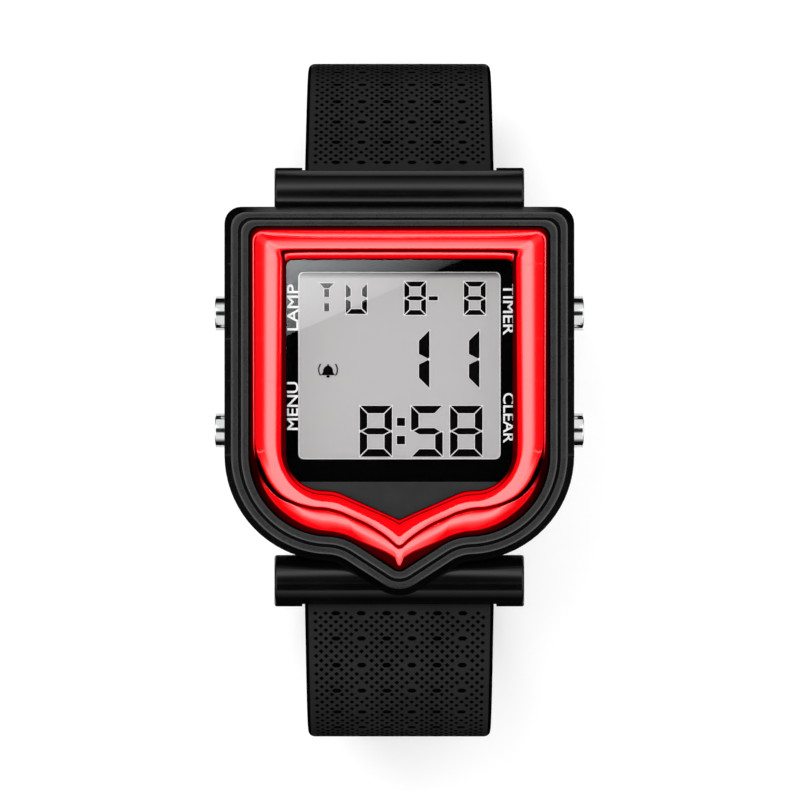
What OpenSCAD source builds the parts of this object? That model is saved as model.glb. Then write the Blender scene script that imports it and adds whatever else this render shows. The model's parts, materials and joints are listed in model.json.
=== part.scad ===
/* [Case] */
// Width of the case between its straight sides
case_w = 42; // [41.5:0.5:44]
// Distance from the dial reference line up to the straight top edge
case_up = 23.2; // [23.2:0.2:24]
// Distance from the dial reference line down to the pointed lower end
case_down = 23.46; // [23.3:0.1:23.8]
// Radius of the two upper corners
case_corner_r = 2; // [1.6:0.1:2.4]
// Radius of the two wide lower corners
case_low_r = 12.7; // [12.4:0.1:13]
// Distance below the reference line where the lower corners begin
case_low_y = 6.6; // [6.4:0.1:6.8]
// Radius of the hollow between a lower corner and the point
case_cove_r = 4; // [3.5:0.1:4.5]
// Slope of the edges that run down to the point, in degrees
case_slope = 33; // [32:0.5:34]
// Radius of the rounded point
case_tip_r = 4.2; // [4:0.1:4.4]
// Depth of the case body below the hinge pins
case_under = 3.4; // [3.3:0.1:3.8]
// Height of the case top above the hinge pins
case_over = 4.4; // [4.3:0.1:4.8]
// Height of the upper shell above its parting step
shell_h = 2.4; // [2.2:0.1:2.5]
// Sideways step between the upper shell and the lower body
shell_step = 0.2; // [0.15:0.05:0.3]
// Height of the sloping shoulder round the case top
shoulder_h = 1; // [0.8:0.1:1.2]
// Thickness of the side walls that carry the buttons
side_wall = 4.3; // [4.2:0.1:4.5]
// Thickness of the deck that carries the dial
deck_t = 1.5; // [1.4:0.1:1.6]

/* [Rings] */
// Edge distance of the flat outer ring
ring1_in = 0.8; // [0.7:0.05:0.9]
// Width of the flat outer ring
ring1_w = 0.82; // [0.7:0.02:0.9]
// Thickness of the flat outer ring
ring1_t = 0.5; // [0.4:0.1:0.7]
// Width of the groove between the two rings
ring_gap = 0.38; // [0.3:0.02:0.4]
// Width of the raised inner ring
ring2_w = 0.85; // [0.7:0.05:0.95]
// Thickness of the raised inner ring
ring2_t = 1; // [0.8:0.1:1.2]
// Gap between the raised ring and the dial frame
ring_clear = 0.12; // [0.1:0.02:0.2]
// How much narrower the rings are along the top edge, from 0 to 1
ring_top_share = 0.86; // [0.8:0.02:0.95]

/* [Dial frame] */
// Width of the rings and the dial frame together, at each side
dial_edge = 7.4; // [7.2:0.1:7.6]
// Distance from the reference line up to the opening's top edge
dial_up = 16.86; // [16.6:0.1:17]
// Distance from the reference line down to the opening's point
dial_down = 14.35; // [14.2:0.05:14.5]
// Radius of the opening's upper corners
dial_corner_r = 0.8; // [0.7:0.1:1]
// Radius of the opening's lower corners
dial_low_r = 4.5; // [4.3:0.1:4.7]
// Distance below the reference line where those corners begin
dial_low_y = 6.4; // [6.2:0.1:6.6]
// Radius of the hollow beside the opening's point
dial_cove_r = 5; // [4.5:0.1:5.5]
// Slope of the opening's edges down to its point, in degrees
dial_slope = 24; // [23:0.5:25]
// Radius of the opening's point
dial_tip_r = 0.5; // [0.4:0.1:0.6]
// Height of the frame's outer wall above the case top
frame_wall_h = 0.9; // [0.7:0.1:1.1]
// Height of the frame's crest above the case top
frame_crest_h = 3.2; // [3:0.1:3.4]
// Height of the frame's inner edge above the case top
frame_inner_h = 2.6; // [2.4:0.1:2.8]
// Where the crest lies between the outer wall and the opening, from 0 to 1
frame_crest_at = 0.78; // [0.72:0.02:0.8]
// Depth of the crease that splits the frame's lower lobe
crease_depth = 0.5; // [0.3:0.05:0.6]
// Half the width of the crease
crease_half_w = 0.22; // [0.18:0.02:0.26]
// Where the crease lies on the lower lobe, from 0 at the wall to 1
crease_at = 0.47; // [0.44:0.01:0.5]
// Distance below the reference line where the crease begins
crease_y = 4.9; // [4.6:0.1:5.2]
// Where the groove lies above the glass, from 0 at the wall to 1
top_groove_at = 0.68; // [0.66:0.01:0.72]

/* [Display] */
// Thickness of the crystal
crystal_t = 1.75; // [1.5:0.05:1.9]
// Distance below the reference line where the crystal meets the chin plate
crystal_down = 9.78; // [9.6:0.1:9.9]
// Thickness of the seal under the crystal
gasket_t = 0.25; // [0.2:0.05:0.3]
// Width of the seal under the crystal
gasket_w = 1; // [0.9:0.1:1.1]
// Thickness of the printed mask
mask_t = 0.2; // [0.15:0.05:0.25]
// Width of the black border beside the window
window_edge = 1.45; // [1.3:0.05:1.6]
// Distance from the reference line up to the window's top edge
window_up = 15.36; // [15.2:0.05:15.5]
// Distance from the reference line down to the window's lower edge
window_down = 7.14; // [7:0.05:7.3]
// Radius of the window's corners
window_r = 0.55; // [0.4:0.05:0.7]
// How far the display cell reaches past the window
cell_lap = 0.75; // [0.6:0.05:0.8]
// Thickness of the display cell
cell_t = 1.75; // [1.6:0.05:1.8]
// Thickness of the numerals on the cell
numeral_t = 0.08; // [0.06:0.01:0.1]
// Height of the large numerals
numeral_h = 6.1; // [5.8:0.1:6.3]

/* [Movement] */
// Diameter of the coin battery
battery_d = 20; // [19:0.5:21]
// Thickness of the coin battery
battery_t = 3.2; // [3:0.1:3.3]
// Thickness of the battery clip
clip_t = 0.2; // [0.15:0.05:0.25]
// Width of the battery clip
clip_w = 4; // [3.6:0.1:4.4]
// How far the clip's ends reach past the battery
clip_reach = 1.5; // [1.3:0.1:1.7]
// Thickness of the circuit board
board_t = 0.8; // [0.6:0.1:0.9]
// Thickness of the light panel
light_t = 0.6; // [0.5:0.1:0.7]
// Height of the connector strips between board and cell
connector_h = 0.8; // [0.75:0.05:0.9]
// Gap between the module and the side walls, where the button stems end
module_side = 1.8; // [1.7:0.1:1.9]
// Radius of the corners of the module space
module_r = 6; // [5.8:0.1:6.3]
// Distance from the reference line up to the top of the module space
module_up = 19.4; // [19.2:0.1:19.5]
// Distance from the reference line down to the foot of the module space
module_down = 11.4; // [11.2:0.1:11.5]

/* [Back] */
// Thickness of the case back
back_t = 1.5; // [1.3:0.1:1.7]
// Height of the round pad on the case back
back_pad_t = 0.6; // [0.5:0.1:0.8]
// Diameter of the round pad on the case back
back_pad_d = 30; // [28:0.5:31]
// How far the case back reaches past the module space
back_lap = 2; // [1.9:0.1:2.1]
// Diameter of a case back screw
screw_d = 1.2; // [1:0.1:1.3]
// Diameter of a screw head
screw_head_d = 2.1; // [1.9:0.1:2.2]
// Length of a screw
screw_len = 3.2; // [3:0.1:3.4]

/* [Buttons] */
// Diameter of a button head
button_d = 4.1; // [3.9:0.1:4.3]
// How far a button stands out of the case side
button_out = 1.2; // [1.1:0.1:1.4]
// Length of a button head
button_len = 2.5; // [2.4:0.1:2.7]
// How far a button travels
button_travel = 0.7; // [0.6:0.05:0.75]
// Diameter of a button stem
stem_d = 1.6; // [1.5:0.1:1.7]
// Distance from the reference line up to the upper buttons
button_up = 10.4; // [10.2:0.1:10.6]
// Distance from the reference line down to the lower buttons
button_down = 3.65; // [3.5:0.05:3.8]
// Radial play of a stem in its bore
stem_clear = 0.05; // [0.03:0.01:0.08]
// Wire diameter of a button spring
spring_wire = 0.32; // [0.28:0.02:0.36]

/* [Hinges] */
// Diameter of the hinge barrels
barrel_d = 6.2; // [6:0.1:6.4]
// Rounding of the barrel ends
barrel_round = 0.3; // [0.2:0.05:0.5]
// Length of the hinge barrels
barrel_len = 30; // [29.5:0.5:31]
// Distance of the upper barrel's axis beyond the top edge
barrel_up = 1.6; // [1.5:0.05:1.7]
// Distance of the lower barrel's axis inside the pointed end
barrel_down = 1.76; // [1.7:0.05:1.8]
// Diameter of the hinge pins
pin_d = 1.5; // [1.4:0.05:1.6]
// Radial play of a pin in the strap
pin_clear = 0.05; // [0.03:0.01:0.08]
// How far the pin ends lie inside the barrel ends
pin_sink = 0.4; // [0.3:0.05:0.5]

/* [Strap] */
// Height of the hinge pins when the watch stands on its strap
hinge_z = 58; // [57:0.5:60]
// Strap width at the hinge
strap_w = 22.8; // [22.4:0.1:23]
// How much narrower the strap is at the buckle
strap_narrow = 2.8; // [2.4:0.1:3.2]
// Length over which the strap narrows
taper_len = 75; // [70:1:76]
// Length of the rounded tip
tip_len = 8; // [7:0.5:9]
// Thickness of the strap
strap_t = 2.4; // [2.3:0.05:2.5]
// Thickness of the strap's neck inside a barrel
neck_t = 1.9; // [1.8:0.05:2]
// Play between the strap and the barrels
strap_clear = 0.25; // [0.2:0.05:0.3]
// Droop of the buckle half where it leaves its barrel, in degrees
upper_droop = 37; // [36:0.5:38]
// Straight length of the buckle half beside its barrel
upper_straight = 10.85; // [10.7:0.05:11]
// Bend radius of the buckle half at its shoulder
upper_bend_r = 14.8; // [14.6:0.1:15]
// Droop of the holed half where it leaves its barrel, in degrees
lower_droop = 6; // [5:0.5:7]
// Straight length of the holed half beside its barrel
lower_straight = 8; // [7.9:0.05:8.2]
// Bend radius of the holed half at its shoulder
lower_bend_r = 10.8; // [10.6:0.1:11]
// Inward lean of the strap's sides, in degrees
side_lean = 15; // [13:1:17]
// Bend radius where the strap turns along the table
foot_bend_r = 14; // [13:0.5:15]
// Flat length of the buckle half along the table
upper_flat = 9; // [8.5:0.5:9.5]
// Flat length of the holed half along the table
lower_flat = 18; // [17:0.5:19]
// Number of buckle holes
hole_count = 7; // [6:1:8]
// Distance between buckle holes
hole_pitch = 6.1; // [6:0.1:6.3]
// Diameter of a buckle hole
hole_d = 2.4; // [2.3:0.1:2.6]
// Outward travel of the strap above level, in degrees
strap_lift = 4; // [3:1:5]

/* [Buckle] */
// Diameter of the buckle bar
bar_d = 1.6; // [1.5:0.1:1.7]
// Diameter of the strap's loop round the bar
bar_loop_d = 3.8; // [3.6:0.1:3.9]
// Length of the buckle frame from its bar
frame_len = 12.5; // [12:0.5:13.5]
// Thickness of the buckle frame
frame_t = 2.2; // [2:0.1:2.4]
// Width of an arm of the buckle frame
frame_arm_w = 2.4; // [2.2:0.1:2.6]
// Width of the far bar of the buckle frame
frame_bar_w = 3; // [2.8:0.1:3.2]
// Play between the strap and the buckle's arms
buckle_clear = 0.35; // [0.3:0.05:0.4]
// Width of the tongue
tongue_w = 2.1; // [2:0.05:2.2]
// Thickness of the tongue
tongue_t = 1.2; // [1.1:0.05:1.25]
// Wall of the keeper loop
keeper_wall = 1; // [0.9:0.1:1.2]
// Length of the keeper loop along the strap
keeper_len = 4; // [3.8:0.1:4.4]
// Play of the strap inside the keeper loop
keeper_clear = 0.3; // [0.25:0.05:0.35]
// Travel of the keeper to each side
keeper_travel = 1.2; // [1:0.1:1.3]

/* [Hidden] */
$fn = 64;
eps = 0.01;

// Levels above the table
case_low_z = hinge_z - case_under;
case_top_z = hinge_z + case_over;
shell_z = case_top_z - shell_h;
shoulder_z = case_top_z - shoulder_h;
deck_low_z = case_top_z - deck_t;
mask_z = case_top_z + gasket_t;
crystal_z = mask_z + mask_t;
crystal_top_z = crystal_z + crystal_t;
cell_top_z = case_top_z - numeral_t - 0.07;
cell_z = cell_top_z - cell_t;
connector_z = cell_z - connector_h;
board_z = connector_z - board_t;
battery_top_z = board_z - 0.4;
battery_z = battery_top_z - battery_t;
back_z = case_low_z - back_t;

// Widths that follow from the case and the strap
dial_w = case_w - 2*dial_edge;
window_w = dial_w - 2*window_edge;
space_w = case_w - 2*side_wall;
module_w = space_w - 2*module_side;
strap_end_w = strap_w - strap_narrow;

// Outline of the case and of the dial opening:
// half width, top, corner radius, start and radius of the lower corner,
// hollow radius, slope, distance down to the point, point radius
CASE = [case_w/2, case_up, case_corner_r, -case_low_y, case_low_r,
        case_cove_r, case_slope, case_down, case_tip_r];
DIAL = [dial_w/2, dial_up, dial_corner_r, -dial_low_y, dial_low_r,
        dial_cove_r, dial_slope, dial_down, dial_tip_r];

// Ring edges, measured inward from the case outline
ring1_end = ring1_in + ring1_w;
ring2_in = ring1_end + ring_gap;
ring2_end = ring2_in + ring2_w;
frame_in = ring2_end + ring_clear;

// Module space
module_gap = 0.25;
battery_y = (module_up - module_down)/2 - 1.6;
quartz_y = battery_y - battery_d/2 - 1.7;

// Hinges
barrel_r = barrel_d/2;
upper_y = case_up + barrel_up;
lower_y = case_down - barrel_down;
knuckle_r = neck_t;
pocket_r = knuckle_r + 0.3;
slot_half = strap_w/2 + strap_clear;
neck_len = barrel_r + 0.3;

// Bridge between the case and its upper barrels: how far it lies inside the barrel ends, and its length
bridge_in = 2*barrel_round;
bridge_len = barrel_up + 2.2;

// Foot of the buckle half, carried clear of the table by the keeper
upper_foot_z = keeper_wall + keeper_clear + strap_t/2;
lower_foot_z = strap_t/2;
side_up = side_arc(hinge_z - upper_foot_z, upper_straight, upper_droop, upper_bend_r);
side_low = side_arc(hinge_z - lower_foot_z, lower_straight, lower_droop, lower_bend_r);

// Legs of each strap half: length, turn in degrees, steps
upper_legs = strap_legs(upper_straight, upper_droop, upper_bend_r, side_up, upper_flat);
lower_legs = strap_legs(lower_straight, lower_droop, lower_bend_r, side_low, lower_flat);
upper_len = total(upper_legs, len(upper_legs) - 1);
lower_len = total(lower_legs, len(lower_legs) - 1);

// Buckle
buckle_y = upper_y + path_end(upper_legs, upper_droop)[0];
bar_r = bar_d/2;
frame_w = strap_end_w + 2*(buckle_clear + frame_arm_w);
keeper_y = buckle_y + bar_loop_d/2 + 0.4 + keeper_travel + keeper_len/2;
frame_drop = upper_foot_z - frame_t/2;
frame_r = (pow(frame_len, 2) + pow(frame_drop, 2))/(2*frame_drop);

// Buttons
button_z = case_low_z + (shell_z - case_low_z)/2 - 0.2;
head_out_x = case_w/2 + button_out;
head_in_x = head_out_x - button_len;
well_r = button_d/2 + 0.1;
well_x = head_in_x - button_travel - 1.3;
gland_x = well_x - 0.75;
space_x = space_w/2;
stem_in_x = space_x - 0.55;
spring_r = 1.45;
spring_turns = 3;

// Radius of the strap's side arc, which makes up the height that is left
function side_arc(drop, straight, droop, bend) =
    (drop - straight*sin(droop) - bend*cos(droop)
        - foot_bend_r*(1 - sin(side_lean)))/sin(side_lean);

function arc_len(r, a) = r*a*PI/180;

function strap_legs(straight, droop, bend, side, flat) = [
    [straight, 0, 5],
    [arc_len(bend, 90 - droop), 90 - droop, 10],
    [arc_len(side, side_lean), side_lean, 8],
    [arc_len(foot_bend_r, 90 - side_lean), 90 - side_lean, 12],
    [flat, 0, 6]
];

function total(legs, i) = i < 0 ? 0 : legs[i][0] + total(legs, i - 1);

// Place at a length along a leg that starts at p, as [y, z, heading, length]
function along(p, leg, f) =
    let (a = p[2], t = leg[1]*f, l = leg[0]*f, r = leg[1] == 0 ? 0 : leg[0]/(leg[1]*PI/180))
    leg[1] == 0
        ? [p[0] + l*cos(a), p[1] - l*sin(a), a, p[3] + l]
        : [p[0] + r*(sin(a + t) - sin(a)), p[1] + r*(cos(a + t) - cos(a)), a + t, p[3] + l];

function walk(p, legs, i = 0) =
    i >= len(legs) ? [] :
    let (q = [for (k = [1:legs[i][2]]) along(p, legs[i], k/legs[i][2])])
    concat(q, walk(q[len(q) - 1], legs, i + 1));

function path_end(legs, droop) = let (q = walk([0, 0, droop, 0], legs)) q[len(q) - 1];

// Place at length s along the whole strap
function place(p, legs, s, i = 0) =
    s <= legs[i][0] || i == len(legs) - 1
        ? along(p, legs[i], s/legs[i][0])
        : place(along(p, legs[i], 1), legs, s - legs[i][0], i + 1);

function strap_width(s) = strap_w - (strap_w - strap_end_w)*min(1, s/taper_len);

// Points along an arc
function arc_pts(c, r, a, b, n) =
    [for (i = [0:n]) c + r*[cos(a + (b - a)*i/n), sin(a + (b - a)*i/n)]];

function tail(v) = [for (i = [1:len(v) - 1]) v[i]];

// Centre of the hollow arc, which touches the lower corner and the sloping edge
function cove_c(s) =
    let (
        n = [sin(s[6]), -cos(s[6])],
        u = [cos(s[6]), sin(s[6])],
        p = [0, s[8] - s[7]] + (s[8] + s[5])*n,
        w = p - [s[0] - s[4], s[3]],
        b = w*u,
        k = -b - sqrt(b*b - w*w + pow(s[4] + s[5], 2))
    )
    p + k*u;

// Right half of an outline, from the top down to the point, drawn in by d
// at the sides and by e along the top, with m extra points down the side
function half(s, d, e, m = 0) =
    let (
        r = max(0.4, s[2] - d/4),
        x = s[0] - d,
        top = s[1] - e - r,
        a = [s[0] - s[4], s[3]],
        b = cove_c(s),
        g = atan2(b[1] - a[1], b[0] - a[0])
    )
    concat(
        arc_pts([x - r, top], r, 90, 0, 6),
        [for (i = [1:1:m]) [x, top + (s[3] - top)*i/(m + 1)]],
        arc_pts(a, s[4] - d, 0, g, 18),
        tail(arc_pts(b, s[5] + d, g + 180, 90 + s[6], 7)),
        arc_pts([0, s[8] - s[7]], s[8] - d, s[6] - 90, -90, 7)
    );

function loop(s, d = 0, e = 0, m = 0) =
    let (h = half(s, d, e, m), n = len(h))
    concat(h, [for (i = [n - 2:-1:0]) [-h[i][0], h[i][1]]]);

function ring_loop(d) = loop(CASE, d, d*ring_top_share);

function raise(pts, z) = [for (p = pts) [p[0], p[1], z]];

// Closed solid through rings of points, given from the bottom up, clockwise from above
module stack(rings) {
    n = len(rings[0]);
    m = len(rings);
    pts = [for (r = rings) each r];
    sides = [for (k = [0:m - 2], i = [0:n - 1], h = [0, 1])
        let (j = (i + 1)%n)
        h == 0
            ? [k*n + i, k*n + j, (k + 1)*n + j]
            : [k*n + i, (k + 1)*n + j, (k + 1)*n + i]];
    foot = [[for (i = [n - 1:-1:0]) i]];
    head = [[for (i = [0:n - 1]) (m - 1)*n + i]];
    polyhedron(pts, concat(sides, foot, head));
}

// Closed band whose section travels round a closed loop
module band(sections) {
    n = len(sections);
    m = len(sections[0]);
    pts = [for (s = sections) each s];
    faces = [for (i = [0:n - 1], j = [0:m - 1], h = [0, 1])
        let (i2 = (i + 1)%n, j2 = (j + 1)%m)
        h == 0
            ? [i*m + j, i2*m + j, i2*m + j2]
            : [i*m + j, i2*m + j2, i*m + j2]];
    polyhedron(pts, faces);
}

module plate(pts, z, t) {
    translate([0, 0, z])
        linear_extrude(t)
            polygon(pts);
}

module ring_plate(outer, inner, z, t) {
    difference() {
        plate(outer, z, t);
        plate(inner, z - 1, t + 2);
    }
}

// Rectangle with round corners between two corners of a box
function round_box(x, y0, y1, r) = concat(
    arc_pts([x - r, y1 - r], r, 90, 0, 6), arc_pts([x - r, y0 + r], r, 0, -90, 6),
    arc_pts([r - x, y0 + r], r, -90, -180, 6), arc_pts([r - x, y1 - r], r, 180, 90, 6));

module along_x(x0, x1, r) {
    translate([x0, 0, 0])
        rotate([0, 90, 0])
            cylinder(h = x1 - x0, r = r);
}

// Hinge barrel with softly rounded ends
module barrel() {
    h = barrel_len/2;
    c = barrel_round;
    rotate([0, 90, 0])
        rotate_extrude()
            polygon(concat(
                [[0, -h]], arc_pts([barrel_r - c, c - h], c, -90, 0, 5),
                arc_pts([barrel_r - c, h - c], c, 0, 90, 5), [[0, h]]));
}

// Pocket and mouth for the strap, and the bore for the pin; the mouth opens towards +Y
module barrel_cut(droop) {
    g = neck_t/2 + 0.15;
    far = barrel_d;
    a = strap_lift;
    along_x(-slot_half, slot_half, pocket_r);
    translate([-slot_half, 0, 0])
        rotate([90, 0, 90])
            linear_extrude(2*slot_half)
                polygon([
                    [-g*sin(a), g*cos(a)],
                    [-g*sin(a) + far*cos(a), g*cos(a) + far*sin(a)],
                    [-g*sin(droop) + far*cos(droop), -g*cos(droop) - far*sin(droop)],
                    [-g*sin(droop), -g*cos(droop)]]);
    along_x(-barrel_len, barrel_len, pin_d/2 + eps);
}

module at_upper() {
    translate([0, upper_y, hinge_z])
        children();
}

module at_lower() {
    translate([0, -lower_y, hinge_z])
        mirror([0, 1, 0])
            children();
}

// Each corner of the case back, as places for its screws
module at_screws() {
    for (x = [-1, 1]) {
        translate([x*(space_x - 0.4), module_up - 0.2, 0])
            children();
        translate([x*(space_x - 0.8), 0.2 - module_down, 0])
            children();
    }
}

// Buttons lie along X; the left ones are mirrored
module at_button(x, y) {
    translate([0, y, button_z])
        mirror([x < 0 ? 1 : 0, 0, 0])
            children();
}

module at_buttons() {
    for (x = [-1, 1], y = [button_up, -button_down])
        at_button(x, y)
            children();
}

module case_body() {
    color("#26272a")
    difference() {
        union() {
            stack([
                raise(loop(CASE), shell_z),
                raise(loop(CASE), shoulder_z),
                raise(ring_loop(ring1_in), case_top_z)]);
            difference() {
                plate(loop(CASE, shell_step, shell_step), case_low_z, shell_z - case_low_z + 0.5);
                translate([-case_w, -case_w - lower_y + 1.7, 0])
                    cube([2*case_w, case_w, 2*hinge_z]);
            }
            translate([0, upper_y, hinge_z])
                barrel();
            translate([0, -lower_y, hinge_z])
                barrel();
            translate([bridge_in - barrel_len/2, upper_y - bridge_len, hinge_z - barrel_r + 0.1])
                cube([barrel_len - 2*bridge_in, bridge_len, barrel_r]);
        }
        at_upper() barrel_cut(upper_droop);
        at_lower() barrel_cut(lower_droop);
        plate(space_loop(0), case_low_z - 1, deck_low_z - case_low_z + 1);
        plate(cell_loop(0.2), deck_low_z - 1, deck_t + 2);
        at_buttons() {
            along_x(well_x, case_w, well_r);
            along_x(gland_x, case_w, 1.4);
            along_x(space_x - 1, case_w, stem_d/2 + stem_clear);
        }
        translate([0, 0, case_low_z - eps])
            at_screws() cylinder(h = screw_len - back_t + 0.5, r = screw_d/2);
        ring_plate(space_loop(-0.9), space_loop(-0.3), case_low_z - 1, 1.4);
    }
}

// Outline of the module space, drawn in by d
function space_loop(d) = round_box(space_x - d, d - module_down, module_up - d, module_r - d);

// Outline of the display cell, drawn out by d
function cell_loop(d) = round_box(
    window_w/2 + cell_lap + d, -window_down - cell_lap - d, window_up + cell_lap + d, 0.6);

module outer_ring() {
    color("#3a3b3e")
    ring_plate(ring_loop(ring1_in), ring_loop(ring1_end), case_top_z, ring1_t);
}

module inner_ring() {
    color("#333436")
    ring_plate(ring_loop(ring2_in), ring_loop(ring2_end), case_top_z, ring2_t);
}

// Height of the dial frame above the case top, at u from its wall to its opening
function frame_height(u) =
    u < frame_crest_at
        ? frame_wall_h + (frame_crest_h - frame_wall_h)*pow(sin(90*u/frame_crest_at), 0.85)
        : frame_crest_h
            - (frame_crest_h - frame_inner_h)*pow((u - frame_crest_at)/(1 - frame_crest_at), 2);

// Place and strength of the crease at a point of the outer outline
function crease(y) =
    y > case_up - frame_in - 1.2 ? [top_groove_at, 1] :
    y > -crease_y ? [0.3, 0] :
    let (f = min(1, (-crease_y - y)/6.5)) [0.14 + (crease_at - 0.14)*f, min(1, f*2)];

// Section of the dial frame between two matching points of its outlines
function frame_section(p, q) =
    let (
        c = crease(p[1]),
        w = crease_half_w/max(0.5, norm(q - p)),
        low = c[0] - w,
        high = c[0] + w,
        us = concat(
            [0, 0.35*low, 0.75*low, low, c[0], high],
            [for (k = [0.2, 0.42, 0.64, 0.84, 0.95, 1]) high + (1 - high)*k]),
        dip = crease_depth*c[1]
    )
    concat(
        [[p[0], p[1], case_top_z]],
        [for (i = [0:len(us) - 1])
            let (u = us[i], xy = p + (q - p)*u)
            [xy[0], xy[1], case_top_z + frame_height(u) - (i == 4 ? dip : 0)]],
        [[q[0], q[1], case_top_z]]);

// The lofted frame round the dial: two unlike outlines, one section that swells
// between them, and a crease that wraps its lower lobe
module dial_frame() {
    color("#e0141c")
    let (
        outer = loop(CASE, frame_in, frame_in*ring_top_share, 7),
        inner = loop(DIAL, 0, 0, 7)
    )
    band([for (i = [0:len(outer) - 1]) frame_section(outer[i], inner[i])]);
}

// What the dial opening holds, drawn in by d and cut at the chin line
module dial_part(d, z, t, above) {
    difference() {
        plate(loop(DIAL, d, d), z, t);
        translate([-case_w, above ? -crystal_down - case_w : -crystal_down - 0.04, z - 1])
            cube([2*case_w, above ? case_w : 2*case_w, t + 2]);
    }
}

module crystal() {
    color([0.75, 0.8, 0.85, 0.35])
    dial_part(0.06, crystal_z, crystal_t, true);
}

module crystal_gasket() {
    color("#101010")
    difference() {
        dial_part(0.06, case_top_z, gasket_t, true);
        plate(cell_loop(gasket_w - 1.1), case_top_z - 1, gasket_t + 2);
    }
}

module display_mask() {
    color("#050505")
    difference() {
        dial_part(0.06, mask_z, mask_t, true);
        plate(round_box(window_w/2, -window_down, window_up, window_r), mask_z - 1, mask_t + 2);
    }
}

module chin_plate() {
    color("#2b2b2c")
    dial_part(0.06, case_top_z, crystal_top_z - case_top_z, false);
}

module lcd_panel() {
    color("#bdb8ba")
    plate(cell_loop(0), cell_z, cell_t);
}

// One bar of a numeral, with pointed ends, between two points
module bar(a, b, t) {
    l = norm(b - a);
    h = t/2;
    translate(a)
        rotate(atan2(b[1] - a[1], b[0] - a[0]))
            polygon([[0.06, 0], [h, h], [l - h, h], [l - 0.06, 0], [l - h, -h], [h, -h]]);
}

// Seven bars: top, upper left, upper right, middle, lower left, lower right, bottom
function lit(n) =
    n == 8 ? [0, 1, 2, 3, 4, 5, 6] :
    n == 5 ? [0, 1, 3, 5, 6] :
    [2, 5];

// Numeral whose outer box is w by h, centred at c
module numeral(n, c, w, h, t) {
    x = (w - t)/2;
    y = (h - t)/2;
    ends = [
        [[-x, y], [x, y]], [[-x, 0], [-x, y]], [[x, 0], [x, y]], [[-x, 0], [x, 0]],
        [[-x, -y], [-x, 0]], [[x, -y], [x, 0]], [[-x, -y], [x, -y]]];
    translate(c)
        for (k = lit(n))
            bar(ends[k][0], ends[k][1], t);
}

module lcd_numerals() {
    h = numeral_h;
    w = 0.635*h;
    t = 0.15*h;
    foot = 0.33 - window_down;
    line = window_up - 1.12;
    s = 0.66*h;
    color("#0a0a0a")
    translate([0, 0, cell_top_z])
        linear_extrude(numeral_t) {
            for (i = [0:2])
                numeral([8, 5, 8][i], [window_w*[-0.116, 0.136, 0.33][i], foot + h/2], w, h, t);
            for (y = [0.3, 0.66])
                translate([window_w*0.008, foot + y*h])
                    square(0.16*h, center = true);
            for (x = [0.122, 0.37])
                numeral(1, [window_w*x, line - s - 0.58*h - 0.28*h], w, 1.16*h, 1.35*t);
            for (x = [0.078, 0.373])
                numeral(8, [window_w*x, line - s/2], 0.65*s, s, 0.15*s);
            translate([window_w*0.167, line - 0.5*s])
                square([0.26*s, 0.12*s], center = true);
        }
}

module lcd_holder() {
    color("#e8e8e4")
    difference() {
        plate(round_box(module_w/2, module_gap - module_down, module_up - module_gap, module_r - 0.4),
            connector_z, deck_low_z - connector_z - 0.05);
        plate(cell_loop(0.1), connector_z - 1, cell_t + connector_h + 2);
    }
}

module light_panel() {
    color("#b9d8c8")
    translate([-window_w/2, 1.4 - window_down, connector_z])
        cube([window_w, window_up + window_down - 2.8, light_t]);
}

module connector_strips() {
    color("#d98a8a")
    for (y = [window_up - 1.1, -window_down - 0.5])
        translate([-window_w/2 + 0.6, y, connector_z])
            cube([window_w - 1.2, 1.6, connector_h]);
}

module circuit_board() {
    color("#1f6b3a")
    plate(round_box(module_w/2, module_gap - module_down, module_up - module_gap, module_r - 0.4),
        board_z, board_t);
}

module control_chip() {
    color("#101010")
    translate([0, battery_y + battery_d/2 + 2.7, board_z - 0.9])
        cylinder(h = 0.9, d1 = 2.4, d2 = 4, $fn = 32);
}

module quartz_can() {
    color("#c9ccd0")
    translate([0, quartz_y, board_z - 0.8])
        along_x(-3, 3, 0.75);
}

// Moulded frame with a well for the battery and pockets for what hangs under the board
module module_frame() {
    color("#3c3f45")
    difference() {
        plate(round_box(module_w/2, module_gap - module_down, module_up - module_gap, module_r - 0.4),
            battery_z, board_z - battery_z);
        translate([0, battery_y, battery_z - 1])
            cylinder(h = battery_t + 3, d = battery_d + 0.4);
        translate([-4, quartz_y - 1.1, board_z - 1.7])
            cube([8, 2.2, 3]);
        translate([-2.6, battery_y + battery_d/2 + 0.1, board_z - 1.2])
            cube([5.2, 5.2, 3]);
    }
}

module button_contacts() {
    color("#d8b25a")
    for (x = [-1, 1], y = [button_up, -button_down])
        at_button(x, y)
            translate([module_w/2, -1.2, -0.9])
                cube([0.15, 2.4, 1.8]);
}

module battery() {
    color("#c8cbd0")
    translate([0, battery_y, battery_z])
        rotate_extrude()
            polygon([
                [0, 0], [battery_d/2 - 0.5, 0], [battery_d/2, 0.4], [battery_d/2, battery_t - 0.6],
                [battery_d/2 - 1.2, battery_t - 0.5], [battery_d/2 - 1.3, battery_t], [0, battery_t]]);
}

// Spring strip that holds the battery in its well
module battery_clip() {
    t = clip_t;
    l = battery_d + 2*clip_reach;
    color("#b8bcc2")
    translate([0, battery_y, battery_z - t]) {
        translate([-clip_w/2, -l/2, 0])
            cube([clip_w, l, t]);
        cylinder(h = t, d = 1.7*clip_w);
    }
}

module buzzer() {
    color("#c9a24a")
    translate([0, battery_y, case_low_z]) {
        cylinder(h = 0.2, d = battery_d);
        cylinder(h = 0.35, d = 0.7*battery_d);
    }
}

module back_gasket() {
    color("#151515")
    ring_plate(space_loop(-0.85), space_loop(-0.35), case_low_z, 0.35);
}

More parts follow.
